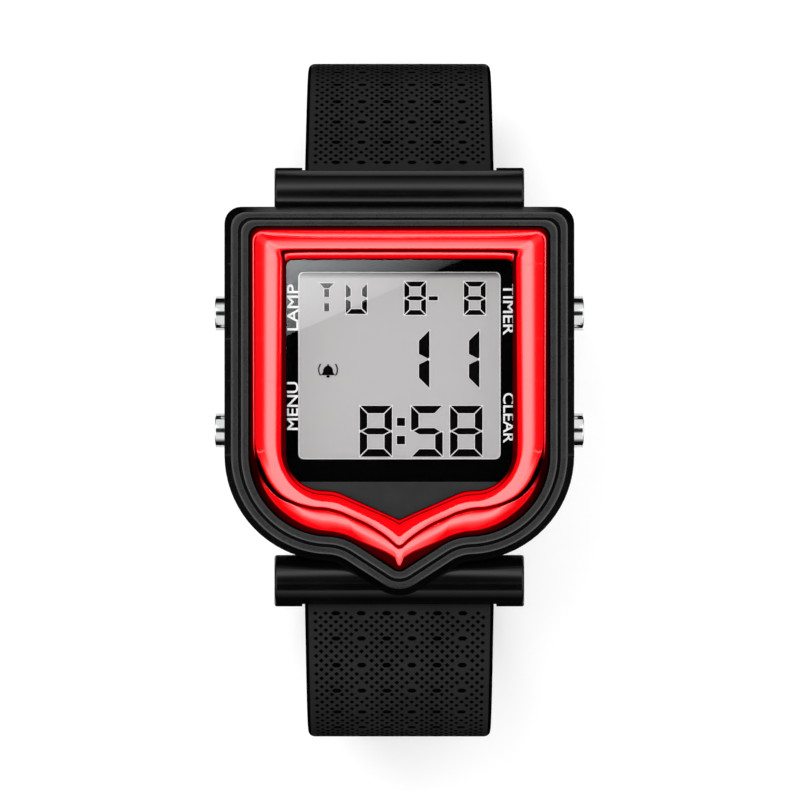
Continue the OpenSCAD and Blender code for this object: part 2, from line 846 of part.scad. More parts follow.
module case_back() {
    m = back_lap;
    color("#b4b7ba")
    difference() {
        union() {
            plate(round_box(space_x + m, -module_down - m, module_up + m, 4), back_z, back_t);
            translate([0, battery_y, back_z - back_pad_t])
                cylinder(h = back_t, d = back_pad_d);
        }
        translate([0, 0, back_z - 1])
            at_screws() cylinder(h = back_t + 2, r = screw_d/2 + 0.1);
        translate([0, 0, back_z - 1])
            at_screws() cylinder(h = 1.7, r = screw_head_d/2 + 0.1);
    }
}

module case_back_screws() {
    color("#8f9296")
    translate([0, 0, back_z])
        at_screws()
            difference() {
                union() {
                    cylinder(h = 0.7, r = screw_head_d/2);
                    cylinder(h = screw_len, r = screw_d/2);
                }
                translate([-screw_head_d, -0.18, -eps])
                    cube([2*screw_head_d, 0.36, 0.3]);
                translate([-0.18, -screw_head_d, -eps])
                    cube([0.36, 2*screw_head_d, 0.3]);
            }
}

// Button with its stem, turned about its own axis
module button(x, y) {
    r = button_d/2;
    s = stem_d/2;
    c = 0.55;
    l = head_out_x - head_in_x;
    g = space_x - 0.1 - stem_in_x;
    color("#dfe1e4")
    at_button(x, y)
        translate([stem_in_x, 0, 0])
            rotate([0, 90, 0])
                rotate_extrude()
                    polygon(concat(
                        [[0, 0], [s - 0.1, 0], [s, 0.1], [s, g - 0.3], [s - 0.2, g - 0.3],
                         [s - 0.2, g], [s, g], [s, head_in_x - stem_in_x], [r, head_in_x - stem_in_x]],
                        arc_pts([r - c, head_in_x - stem_in_x + l - c], c, 0, 90, 6),
                        [[0, head_in_x - stem_in_x + l]]));
}

// Coil spring behind a button head, as one unbroken wire
module spring(x, y) {
    r = spring_wire/2;
    x0 = well_x + r + 0.02;
    run = head_in_x - r - 0.02 - x0;
    steps = 14*spring_turns;
    function ring(i) = let (a = 360*spring_turns*i/steps, f = min(1, max(0, (i - 4)/(steps - 8))))
        [for (k = [0:5]) let (b = 60*k, q = spring_r + r*cos(b))
            [x0 + run*f + r*sin(b), q*cos(a), q*sin(a)]];
    color("#9a9da2")
    at_button(x, y)
        stack([for (i = [0:steps]) ring(i)]);
}

module seal(x, y) {
    color("#0c0c0c")
    at_button(x, y)
        translate([gland_x + 0.35, 0, 0])
            rotate([0, 90, 0])
                rotate_extrude()
                    translate([stem_d/2 + 0.3, 0])
                        circle(r = 0.27, $fn = 24);
}

module clip(x, y) {
    color("#a8abb0")
    at_button(x, y)
        difference() {
            along_x(space_x - 0.37, space_x - 0.13, stem_d);
            along_x(space_x - 2, space_x + 2, stem_d/2 - 0.18);
            translate([space_x - 2, -stem_d/4, -2*stem_d])
                cube([4, stem_d/2, 2*stem_d]);
        }
}

module hinge_pin() {
    color("#c4c7cb")
    along_x(pin_sink - barrel_len/2, barrel_len/2 - pin_sink, pin_d/2);
}

module pin_upper() {
    at_upper() hinge_pin();
}

module pin_lower() {
    at_lower() hinge_pin();
}

// Cross section of the strap, rounded at its margins, clockwise seen from its far end
function strap_ring(p, w, t) =
    let (
        c = min(0.75, 0.42*t),
        x = w/2 - c,
        h = t/2 - c,
        o = [for (k = [0:2]) [x + c*sin(45*k), h + c*cos(45*k)]],
        q = concat(
            o, [for (k = [2:-1:0]) [o[k][0], -o[k][1]]],
            [for (k = [0:2]) [-o[k][0], -o[k][1]]], [for (k = [2:-1:0]) [-o[k][0], o[k][1]]])
    )
    [for (k = [0:len(q) - 1]) let (v = q[k])
        [-v[0], p[0] + v[1]*sin(p[2]), p[1] + v[1]*cos(p[2])]];

// A strap half from its knuckle outward, along its legs
module strap_run(legs, droop, last, tip) {
    start = [0, 0, droop, 0];
    body = walk(start, legs);
    neck = [for (s = [1.1, neck_len]) along(start, legs[0], s/legs[0][0])];
    shoulder = along(start, legs[0], (neck_len + 0.25)/legs[0][0]);
    full = [for (p = body) if (p[3] > neck_len + 0.8 && p[3] < last - tip - 0.4) p];
    ends = tip == 0
        ? [place(start, legs, last)]
        : [for (k = [0:6]) place(start, legs, last - tip*(1 - sin(15*k)))];
    stack(concat(
        [for (p = neck) strap_ring(p, strap_width(p[3]), neck_t)],
        [strap_ring(shoulder, strap_width(shoulder[3]), strap_t)],
        [for (p = full) strap_ring(p, strap_width(p[3]), strap_t)],
        [for (k = [0:len(ends) - 1])
            strap_ring(ends[k], strap_width(ends[k][3])*(tip == 0 ? 1 : max(0.25, cos(14*k))), strap_t)]));
}

module strap_knuckle() {
    along_x(-strap_w/2, strap_w/2, knuckle_r);
}

module strap_upper() {
    loop_r = bar_loop_d/2;
    notch = tongue_w + 1.1;
    color("#232427")
    difference() {
        union() {
            at_upper() {
                strap_run(upper_legs, upper_droop, upper_len - 1.2, 0);
                strap_knuckle();
            }
            translate([0, buckle_y, upper_foot_z])
                along_x(-strap_end_w/2, strap_end_w/2, loop_r);
        }
        at_upper() along_x(-strap_w, strap_w, pin_d/2 + pin_clear);
        translate([0, buckle_y, upper_foot_z]) {
            along_x(-strap_w, strap_w, bar_r + pin_clear);
            translate([-notch/2, -loop_r - 1, -strap_w/2])
                cube([notch, 2*loop_r + 1.4, strap_w]);
        }
    }
}

module strap_lower() {
    first = lower_len - tip_len - 5;
    color("#232427")
    at_lower()
        difference() {
            union() {
                strap_run(lower_legs, lower_droop, lower_len, tip_len);
                strap_knuckle();
            }
            along_x(-strap_w, strap_w, pin_d/2 + pin_clear);
            for (i = [0:hole_count - 1]) {
                p = place([0, 0, lower_droop, 0], lower_legs, first - i*hole_pitch);
                translate([0, p[0], p[1]])
                    rotate([-p[2], 0, 0])
                        cylinder(h = 2*strap_t, d = hole_d, center = true);
            }
        }
}

module keeper() {
    x = strap_end_w/2 + keeper_clear;
    h = strap_t + 2*keeper_clear;
    color("#1d1e20")
    translate([0, keeper_y - keeper_len/2, upper_foot_z])
        rotate([90, 0, 180])
            linear_extrude(keeper_len)
                difference() {
                    polygon(round_box(x + keeper_wall, -h/2 - keeper_wall, h/2 + keeper_wall, keeper_wall + 0.4));
                    polygon(round_box(x, -h/2, h/2, 0.5));
                }
}

// Slab that follows the buckle's gentle curve, thick enough for its arms
module buckle_slab() {
    translate([0, 0, -frame_r])
        difference() {
            along_x(-frame_w, frame_w, frame_r + frame_t/2, $fn = 180);
            along_x(-2*frame_w, 2*frame_w, frame_r - frame_t/2, $fn = 180);
        }
}

module at_bar() {
    translate([0, buckle_y, upper_foot_z])
        children();
}

module buckle_frame() {
    x = frame_w/2;
    ear = bar_loop_d/2 - 0.1;
    color("#b9bcc0")
    at_bar()
        difference() {
            union() {
                intersection() {
                    buckle_slab();
                    translate([0, 0, -frame_r])
                        linear_extrude(2*frame_r)
                            polygon(concat(
                                [[x, 0]], arc_pts([x - 3, 3 - frame_len], 3, 0, -90, 6),
                                arc_pts([3 - x, 3 - frame_len], 3, -90, -180, 6), [[-x, 0]]));
                }
                for (s = [-1, 1])
                    translate([s > 0 ? x - frame_arm_w : -x, 0, 0])
                        along_x(0, frame_arm_w, ear);
            }
            translate([frame_arm_w - x, frame_bar_w - frame_len, -frame_r])
                cube([2*(x - frame_arm_w), frame_len, 2*frame_r]);
            along_x(-frame_w, frame_w, bar_r + eps);
        }
}

module buckle_bar() {
    color("#8f9296")
    at_bar() along_x(0.3 - frame_w/2, frame_w/2 - 0.3, bar_r);
}

// Tongue that turns on the bar and rests on the far bar of the frame
module buckle_tongue() {
    near_y = frame_len - frame_bar_w;
    end_y = frame_len + 0.6;
    near_z = frame_t/2 - pow(near_y, 2)/(2*frame_r) + 0.05;
    end_z = frame_t/2 - pow(frame_len, 2)/(2*frame_r) + 0.05;
    ring_r = bar_loop_d/2 - 0.3;
    thick = tongue_t;
    w = tongue_w;
    color("#b9bcc0")
    at_bar()
        difference() {
            union() {
                along_x(-w/2, w/2, ring_r);
                translate([-w/2, 0, 0])
                    rotate([90, 0, 90])
                        linear_extrude(w)
                            polygon([
                                [0, ring_r], [-near_y, near_z + thick], [0.3 - end_y, end_z + thick],
                                [-end_y, end_z + 0.6*thick], [0.2 - end_y, end_z], [-near_y, near_z],
                                [-ring_r - 0.6, ring_r - thick], [0, 0.2]]);
            }
            along_x(-w, w, bar_r + pin_clear);
        }
}

case_body();
outer_ring();
inner_ring();
dial_frame();
crystal();
crystal_gasket();
display_mask();
chin_plate();
lcd_panel();
lcd_numerals();
lcd_holder();
light_panel();
connector_strips();
circuit_board();
control_chip();
quartz_can();
module_frame();
button_contacts();
battery();
battery_clip();
buzzer();
back_gasket();
case_back();
case_back_screws();
button(-1, button_up);  // button_upper_left
button(-1, -button_down);  // button_lower_left
button(1, button_up);  // button_upper_right
button(1, -button_down);  // button_lower_right
spring(-1, button_up);  // spring_upper_left
spring(-1, -button_down);  // spring_lower_left
spring(1, button_up);  // spring_upper_right
spring(1, -button_down);  // spring_lower_right
seal(-1, button_up);  // seal_upper_left
seal(-1, -button_down);  // seal_lower_left
seal(1, button_up);  // seal_upper_right
seal(1, -button_down);  // seal_lower_right
clip(-1, button_up);  // clip_upper_left
clip(-1, -button_down);  // clip_lower_left
clip(1, button_up);  // clip_upper_right
clip(1, -button_down);  // clip_lower_right
pin_upper();
pin_lower();
strap_upper();
strap_lower();
keeper();
buckle_frame();
buckle_bar();
buckle_tongue();
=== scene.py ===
import bpy
import bmesh
import json
import math
from mathutils import Matrix, Vector

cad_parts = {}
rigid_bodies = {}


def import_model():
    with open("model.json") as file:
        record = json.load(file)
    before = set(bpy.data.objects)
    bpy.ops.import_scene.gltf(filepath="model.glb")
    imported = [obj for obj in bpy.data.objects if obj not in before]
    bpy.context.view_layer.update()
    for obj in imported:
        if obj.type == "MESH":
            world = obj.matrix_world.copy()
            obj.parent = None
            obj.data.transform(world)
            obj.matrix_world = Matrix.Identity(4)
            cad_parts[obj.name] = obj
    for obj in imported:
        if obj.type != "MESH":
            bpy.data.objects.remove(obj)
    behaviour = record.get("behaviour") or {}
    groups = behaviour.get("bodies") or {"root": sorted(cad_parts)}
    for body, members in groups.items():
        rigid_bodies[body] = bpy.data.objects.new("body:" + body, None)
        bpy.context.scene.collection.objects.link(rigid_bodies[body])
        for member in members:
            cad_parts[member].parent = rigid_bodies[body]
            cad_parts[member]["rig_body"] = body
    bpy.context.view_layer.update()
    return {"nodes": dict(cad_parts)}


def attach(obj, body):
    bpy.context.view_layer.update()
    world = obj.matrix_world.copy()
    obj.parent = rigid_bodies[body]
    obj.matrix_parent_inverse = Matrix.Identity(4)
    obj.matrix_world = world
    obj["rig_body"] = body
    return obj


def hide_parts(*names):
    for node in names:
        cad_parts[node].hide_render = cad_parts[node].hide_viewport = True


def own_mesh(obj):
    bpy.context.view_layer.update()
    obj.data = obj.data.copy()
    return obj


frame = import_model()
nodes = frame["nodes"]
mm = 0.001
print("loaded", len(nodes), "nodes")


# small helpers for meshes
def pieceFrom(bm, name, body, material, replaced=(), smoothAngle=35, outward=True):
    # every finished mesh passes here: doubles merged, faces turned outwards, shading, body and slot
    bmesh.ops.remove_doubles(bm, verts=bm.verts[:], dist=1e-7)
    if outward:
        bmesh.ops.recalc_face_normals(bm, faces=bm.faces[:])
    for face in bm.faces:
        face.smooth = True
    for edge in bm.edges:
        edge.smooth = len(edge.link_faces) == 2 and edge.calc_face_angle(0) < math.radians(smoothAngle)
    mesh = bpy.data.meshes.new(name)
    bm.to_mesh(mesh)
    bm.free()
    piece = bpy.data.objects.new(name, mesh)
    bpy.context.scene.collection.objects.link(piece)
    piece.data.materials.append(material)
    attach(piece, body)
    if replaced:
        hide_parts(*replaced)
    return piece


def roundEdges(piece, width, angle=30, segments=2):
    bevel = piece.modifiers.new("edge", "BEVEL")
    bevel.width = width*mm
    bevel.segments = segments
    bevel.limit_method = "ANGLE"
    bevel.angle_limit = math.radians(angle)
    bevel.harden_normals = True


def copyOf(node, name, material, edge=0.1, angle=30, segments=2, flat=1.0):
    # a merged copy of a CAD solid, so that its edges can be rounded; its faces point the right way already
    bm = bmesh.new()
    bm.from_mesh(nodes[node].data)
    bmesh.ops.remove_doubles(bm, verts=bm.verts[:], dist=2e-6)
    bmesh.ops.dissolve_limit(bm, angle_limit=math.radians(flat), verts=bm.verts[:], edges=bm.edges[:])
    piece = pieceFrom(bm, name, nodes[node]["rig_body"], material, [node], angle, outward=False)
    if edge:
        roundEdges(piece, edge, angle, segments)
    return piece


def turned(bm, profile, start, steps=64):
    # spins a profile of (distance along x, radius) about the x axis through start, in mm
    x, y, z = start
    verts = [bm.verts.new(((x + along)*mm, y*mm, (z + radius)*mm)) for along, radius in profile]
    edges = [bm.edges.new(pair) for pair in zip(verts, verts[1:])]
    bmesh.ops.spin(bm, geom=verts + edges, cent=[c*mm for c in start], axis=(1, 0, 0), dvec=(0, 0, 0),
                   angle=2*math.pi, steps=steps, use_merge=True, use_duplicate=False)


def arc(cx, cy, r, a, b, n):
    return [(cx + r*math.cos(math.radians(a + (b - a)*i/n)),
             cy + r*math.sin(math.radians(a + (b - a)*i/n))) for i in range(n + 1)]


# small helpers for materials
def startMaterial(name, colour, roughness, metallic=0, specular=0.5):
    material = bpy.data.materials.new(name)
    material.use_nodes = True
    tree = material.node_tree
    shader = tree.nodes["Principled BSDF"]
    shader.inputs["Base Color"].default_value = (*colour, 1)
    shader.inputs["Roughness"].default_value = roughness
    shader.inputs["Metallic"].default_value = metallic
    shader.inputs["Specular IOR Level"].default_value = specular
    return material, tree, shader


def objectPlace(tree, centre=(0, 0, 0), scale=(1, 1, 1)):
    coordinate = tree.nodes.new("ShaderNodeTexCoord")
    mapping = tree.nodes.new("ShaderNodeMapping")
    mapping.inputs["Location"].default_value = [-c*s*mm for c, s in zip(centre, scale)]
    mapping.inputs["Scale"].default_value = scale
    tree.links.new(coordinate.outputs["Object"], mapping.inputs["Vector"])
    return mapping.outputs["Vector"]


def noiseOf(tree, place, sizeMm, detail=3.0, rough=0.55):
    noise = tree.nodes.new("ShaderNodeTexNoise")
    noise.inputs["Scale"].default_value = 1/(sizeMm*mm)
    noise.inputs["Detail"].default_value = detail
    noise.inputs["Roughness"].default_value = rough
    tree.links.new(place, noise.inputs["Vector"])
    return noise.outputs["Fac"]


def ranged(tree, value, low, high, fromLow=0.3, fromHigh=0.7):
    spread = tree.nodes.new("ShaderNodeMapRange")
    for name, number in (("From Min", fromLow), ("From Max", fromHigh), ("To Min", low), ("To Max", high)):
        spread.inputs[name].default_value = number
    tree.links.new(value, spread.inputs["Value"])
    return spread.outputs["Result"]


def mixed(tree, value, low, high):
    # low and high are colours or sockets
    mix = tree.nodes.new("ShaderNodeMix")
    mix.data_type = "RGBA"
    for name, colour in (("A", low), ("B", high)):
        if isinstance(colour, tuple):
            mix.inputs[name].default_value = (*colour, 1)
        else:
            tree.links.new(colour, mix.inputs[name])
    tree.links.new(value, mix.inputs["Factor"])
    return mix.outputs["Result"]


def bumped(tree, shader, height, depthMm):
    bump = tree.nodes.new("ShaderNodeBump")
    bump.inputs["Distance"].default_value = depthMm*mm
    bump.inputs["Strength"].default_value = 1
    tree.links.new(height, bump.inputs["Height"])
    tree.links.new(bump.outputs["Normal"], shader.inputs["Normal"])


def grained(name, look):
    # moulded or cast surface: blotches of colour, uneven polish and a fine grain
    material, tree, shader = startMaterial(name, look["colour"], look["rough"][0],
                                           look.get("metallic", 0), look.get("specular", 0.5))
    place = objectPlace(tree, scale=look.get("stretch", (1, 1, 1)))
    blotch = ranged(tree, noiseOf(tree, place, look["blotch"]), 0, 1)
    tree.links.new(mixed(tree, blotch, look["colour"], look["colour2"]), shader.inputs["Base Color"])
    polish = noiseOf(tree, place, look["blotch"]*0.37, 4)
    tree.links.new(ranged(tree, polish, *look["rough"]), shader.inputs["Roughness"])
    bumped(tree, shader, noiseOf(tree, place, look["grain"], 2), look["depth"])
    return material


# finishes with blotches of colour, uneven polish and a grain; sizes in mm
looks = {
    "caseBlack": dict(colour=(0.0008, 0.0008, 0.001), colour2=(0.002, 0.002, 0.0022), rough=(0.16, 0.2),
                      blotch=6, grain=0.06, depth=0.0006, specular=0.28),
    "ringBlack": dict(colour=(0.014, 0.014, 0.0148), colour2=(0.019, 0.019, 0.02), rough=(0.25, 0.31),
                      blotch=4, grain=0.05, depth=0.001, specular=0.5),
    "chinBlack": dict(colour=(0.0085, 0.0085, 0.009), colour2=(0.012, 0.012, 0.0125), rough=(0.36, 0.44),
                      blotch=3, grain=0.035, depth=0.0025, specular=0.35),
    "maskBlack": dict(colour=(0.0004, 0.0004, 0.0005), colour2=(0.001, 0.001, 0.0012), rough=(0.16, 0.22),
                      blotch=9, grain=0.2, depth=0.0001, specular=0.05),
    "moduleGrey": dict(colour=(0.04, 0.043, 0.048), colour2=(0.06, 0.064, 0.07), rough=(0.4, 0.55),
                       blotch=5, grain=0.1, depth=0.002),
    "holderWhite": dict(colour=(0.7, 0.7, 0.68), colour2=(0.8, 0.8, 0.78), rough=(0.35, 0.5),
                        blotch=6, grain=0.1, depth=0.002),
    "sealBlack": dict(colour=(0.012, 0.012, 0.012), colour2=(0.02, 0.02, 0.02), rough=(0.55, 0.7),
                      blotch=2, grain=0.05, depth=0.003),
    "chipBlack": dict(colour=(0.008, 0.008, 0.008), colour2=(0.016, 0.016, 0.016), rough=(0.12, 0.25),
                      blotch=2, grain=0.4, depth=0.002),
    "plainSteel": dict(colour=(0.46, 0.46, 0.47), colour2=(0.62, 0.62, 0.63), rough=(0.2, 0.36),
                       blotch=3, grain=0.05, depth=0.0015, metallic=1, stretch=(0.08, 1, 1)),
    "buttonChrome": dict(colour=(0.82, 0.83, 0.84), colour2=(0.88, 0.89, 0.9), rough=(0.08, 0.13),
                         blotch=1.2, grain=0.25, depth=0.0003, metallic=1),
    "brass": dict(colour=(0.62, 0.4, 0.13), colour2=(0.8, 0.57, 0.24), rough=(0.22, 0.36),
                  blotch=2, grain=0.08, depth=0.001, metallic=1),
    "buckleSteel": dict(colour=(0.5, 0.5, 0.51), colour2=(0.68, 0.68, 0.69), rough=(0.2, 0.33),
                        blotch=2.4, grain=0.05, depth=0.002, metallic=1, stretch=(0.05, 1, 1)),
    "figureBlack": dict(colour=(0.0008, 0.0008, 0.001), colour2=(0.002, 0.002, 0.0024), rough=(0.55, 0.65),
                        blotch=2, grain=0.05, depth=0.0003, specular=0.02),
    # light grey of the painted highlights round the figures and the window
    "haloHighlightGrey": dict(colour=(0.82, 0.805, 0.805), colour2=(0.88, 0.865, 0.865), rough=(0.45, 0.55),
                     blotch=2, grain=0.05, depth=0.0002, specular=0.1),
    "labelWhite": dict(colour=(0.9, 0.9, 0.9), colour2=(1.0, 1.0, 1.0), rough=(0.4, 0.5),
                       blotch=1, grain=0.05, depth=0.0005),
    "boardGreen": dict(colour=(0.012, 0.13, 0.04), colour2=(0.03, 0.2, 0.07), rough=(0.2, 0.35),
                       blotch=1.6, grain=0.3, depth=0.003),
    "filmGreen": dict(colour=(0.42, 0.68, 0.55), colour2=(0.5, 0.76, 0.63), rough=(0.35, 0.5),
                      blotch=3, grain=0.05, depth=0.001),
    "stripPink": dict(colour=(0.55, 0.22, 0.22), colour2=(0.75, 0.4, 0.4), rough=(0.5, 0.65),
                      blotch=0.3, grain=0.1, depth=0.002, stretch=(1, 0.05, 0.05)),
}
finish = {name: grained(name, look) for name, look in looks.items()}

# the darkest colour is painted shade for the frame's steep sides, grooves and creases
redLook = dict(colour=(0.95, 0.0012, 0.0045), deep=(0.88, 0.001, 0.004), paintedShade=(0.0015, 0.0, 0.0004),
               blotch=5, rough=(0.3, 0.36), polish=0.5, grain=1.4, depth=0.001, coatRough=0.05, coatIor=1.95)


def redLacquer(name, coat):
    # clear-coated red; an attribute paints shade into it, darkening the base colour on the frame's steep sides,
    # grooves and creases
    look = redLook
    material, tree, shader = startMaterial(name, look["colour"], look["rough"][0], 0, 0)
    place = objectPlace(tree)
    paintedShade = tree.nodes.new("ShaderNodeAttribute")
    paintedShade.attribute_name = "paintedShade"
    blotch = ranged(tree, noiseOf(tree, place, look["blotch"]), 0, 1)
    body = mixed(tree, blotch, look["deep"], look["colour"])
    # painted shade: the attribute mixes the red towards near-black where shade falls
    tree.links.new(mixed(tree, paintedShade.outputs["Fac"], body, look["paintedShade"]), shader.inputs["Base Color"])
    polish = noiseOf(tree, place, look["polish"])
    tree.links.new(ranged(tree, polish, *look["rough"]), shader.inputs["Roughness"])
    bumped(tree, shader, noiseOf(tree, place, look["grain"], 1), look["depth"])
    shader.inputs["Coat Weight"].default_value = coat
    shader.inputs["Coat Roughness"].default_value = look["coatRough"]
    shader.inputs["Coat IOR"].default_value = look["coatIor"]
    return material


finish["redLacquer"] = redLacquer("redLacquer", 1)
# an uncoated copy of the red, for faces bare of coat, most of them darkened with painted shade
finish["redBareShade"] = redLacquer("redBareShade", 0)

rubbers = {
    "strapRubber": dict(low=(0.0105, 0.0105, 0.011), high=(0.014, 0.014, 0.0146), rough=(0.46, 0.6),
                        specular=0.07),
    # near-black, painted shade for the dot pits and the edges of the top
    "strapShadeBlack": dict(low=(0.0002, 0.0002, 0.0003), high=(0.0006, 0.0006, 0.0007), rough=(0.8, 0.9), specular=0),
}
rubberGrain = dict(blotch=7, polish=1.8, grain=0.06, depth=0.004)


def strapRubber(name):
    # matt moulded rubber
    look = {**rubbers[name], **rubberGrain}
    material, tree, shader = startMaterial(name, look["high"], look["rough"][0], 0, look["specular"])
    place = objectPlace(tree)
    blotch = ranged(tree, noiseOf(tree, place, look["blotch"]), 0, 1)
    tree.links.new(mixed(tree, blotch, look["low"], look["high"]), shader.inputs["Base Color"])
    polish = noiseOf(tree, place, look["polish"])
    tree.links.new(ranged(tree, polish, *look["rough"]), shader.inputs["Roughness"])
    bumped(tree, shader, noiseOf(tree, place, look["grain"], 3), look["depth"])
    return material


for name in rubbers:
    finish[name] = strapRubber(name)

# the darkest grey and the band where it takes over are a painted shadow of the frame along the cell's upper edge
cellLook = dict(grey=(0.497, 0.48, 0.483), pale=(0.523, 0.507, 0.51), shadowColour=(0.07, 0.07, 0.072),
                shadowFrom=14.55, shadowTo=15.25, rough=(0.28, 0.36), specular=0.03, pearl=0.045, pearlDeep=0.05,
                depth=0.0006, polish=3)


def cellGrey():
    # liquid crystal cell: pale grey with a fine pearly reflector behind it, and a painted shadow of the frame that
    # darkens it along its upper edge
    look = cellLook
    material, tree, shader = startMaterial("cellGrey", look["pale"], look["rough"][0], 0, look["specular"])
    place = objectPlace(tree)
    pearl = ranged(tree, noiseOf(tree, place, look["pearl"], 2), 0, 1, 0.25, 0.75)
    parts = tree.nodes.new("ShaderNodeSeparateXYZ")
    tree.links.new(place, parts.inputs["Vector"])
    # painted shadow: the grey turns dark over a band at the cell's upper edge
    edge = ranged(tree, parts.outputs["Y"], 0, 1, look["shadowFrom"]*mm, look["shadowTo"]*mm)
    tree.links.new(mixed(tree, edge, mixed(tree, pearl, look["grey"], look["pale"]), look["shadowColour"]),
                   shader.inputs["Base Color"])
    polish = noiseOf(tree, place, look["polish"])
    tree.links.new(ranged(tree, polish, *look["rough"]), shader.inputs["Roughness"])
    bumped(tree, shader, noiseOf(tree, place, look["pearlDeep"], 1), look["depth"])
    return material


finish["cellGrey"] = cellGrey()

latheLook = dict(centre=(0, 2.4, 0), low=(0.44, 0.44, 0.45), high=(0.66, 0.66, 0.67), rough=(0.2, 0.36),
                 rings=0.12, depth=0.003)


def turnedSteel():
    # case back: fine rings left by the lathe
    look = latheLook
    material, tree, shader = startMaterial("turnedSteel", look["high"], look["rough"][0], 1)
    place = objectPlace(tree, centre=look["centre"])
    flat = tree.nodes.new("ShaderNodeVectorMath")
    flat.operation = "MULTIPLY"
    flat.inputs[1].default_value = (1, 1, 0)
    radius = tree.nodes.new("ShaderNodeVectorMath")
    radius.operation = "LENGTH"
    along = tree.nodes.new("ShaderNodeCombineXYZ")
    tree.links.new(place, flat.inputs[0])
    tree.links.new(flat.outputs["Vector"], radius.inputs[0])
    tree.links.new(radius.outputs["Value"], along.inputs["X"])
    rings = noiseOf(tree, along.outputs["Vector"], look["rings"], 3)
    tree.links.new(mixed(tree, ranged(tree, rings, 0, 1), look["low"], look["high"]), shader.inputs["Base Color"])
    tree.links.new(ranged(tree, rings, *look["rough"]), shader.inputs["Roughness"])
    bumped(tree, shader, rings, look["depth"])
    return material


finish["turnedSteel"] = turnedSteel()

glassLook = dict(shine=(0.9, 0.94, 0.95), ior=1.5, rough=(0.004, 0.008), polish=6)


def clearGlass():
    # see-through mineral glass: lamps pass straight through, reflections stay
    look = glassLook
    material, tree, shader = startMaterial("clearGlass", look["shine"], look["rough"][0], 1)
    polish = noiseOf(tree, objectPlace(tree), look["polish"])
    tree.links.new(ranged(tree, polish, *look["rough"]), shader.inputs["Roughness"])
    fresnel = tree.nodes.new("ShaderNodeFresnel")
    behind = tree.nodes.new("ShaderNodeNewGeometry").outputs["Backfacing"]
    tree.links.new(ranged(tree, behind, look["ior"], 1/look["ior"], 0, 1), fresnel.inputs["IOR"])
    clear = tree.nodes.new("ShaderNodeBsdfTransparent")
    mix = tree.nodes.new("ShaderNodeMixShader")
    output = tree.nodes["Material Output"]
    tree.links.new(fresnel.outputs["Fac"], mix.inputs["Fac"])
    tree.links.new(clear.outputs["BSDF"], mix.inputs[1])
    tree.links.new(shader.outputs["BSDF"], mix.inputs[2])
    tree.links.new(mix.outputs["Shader"], output.inputs["Surface"])
    return material


finish["clearGlass"] = clearGlass()
print("materials made")


# case, rings and what lies in the dial

# heights above the table
levels = dict(caseTop=62.4, glassFoot=62.85, glassTop=64.6, cellTop=62.25, foot=2.5)

copyOf("case_body", "caseShell", finish["caseBlack"], edge=0.09, angle=32)
copyOf("chin_plate", "chinPlate", finish["chinBlack"], edge=0.07, angle=30)
copyOf("case_back", "caseBack", finish["turnedSteel"], edge=0.12, angle=30, segments=3)

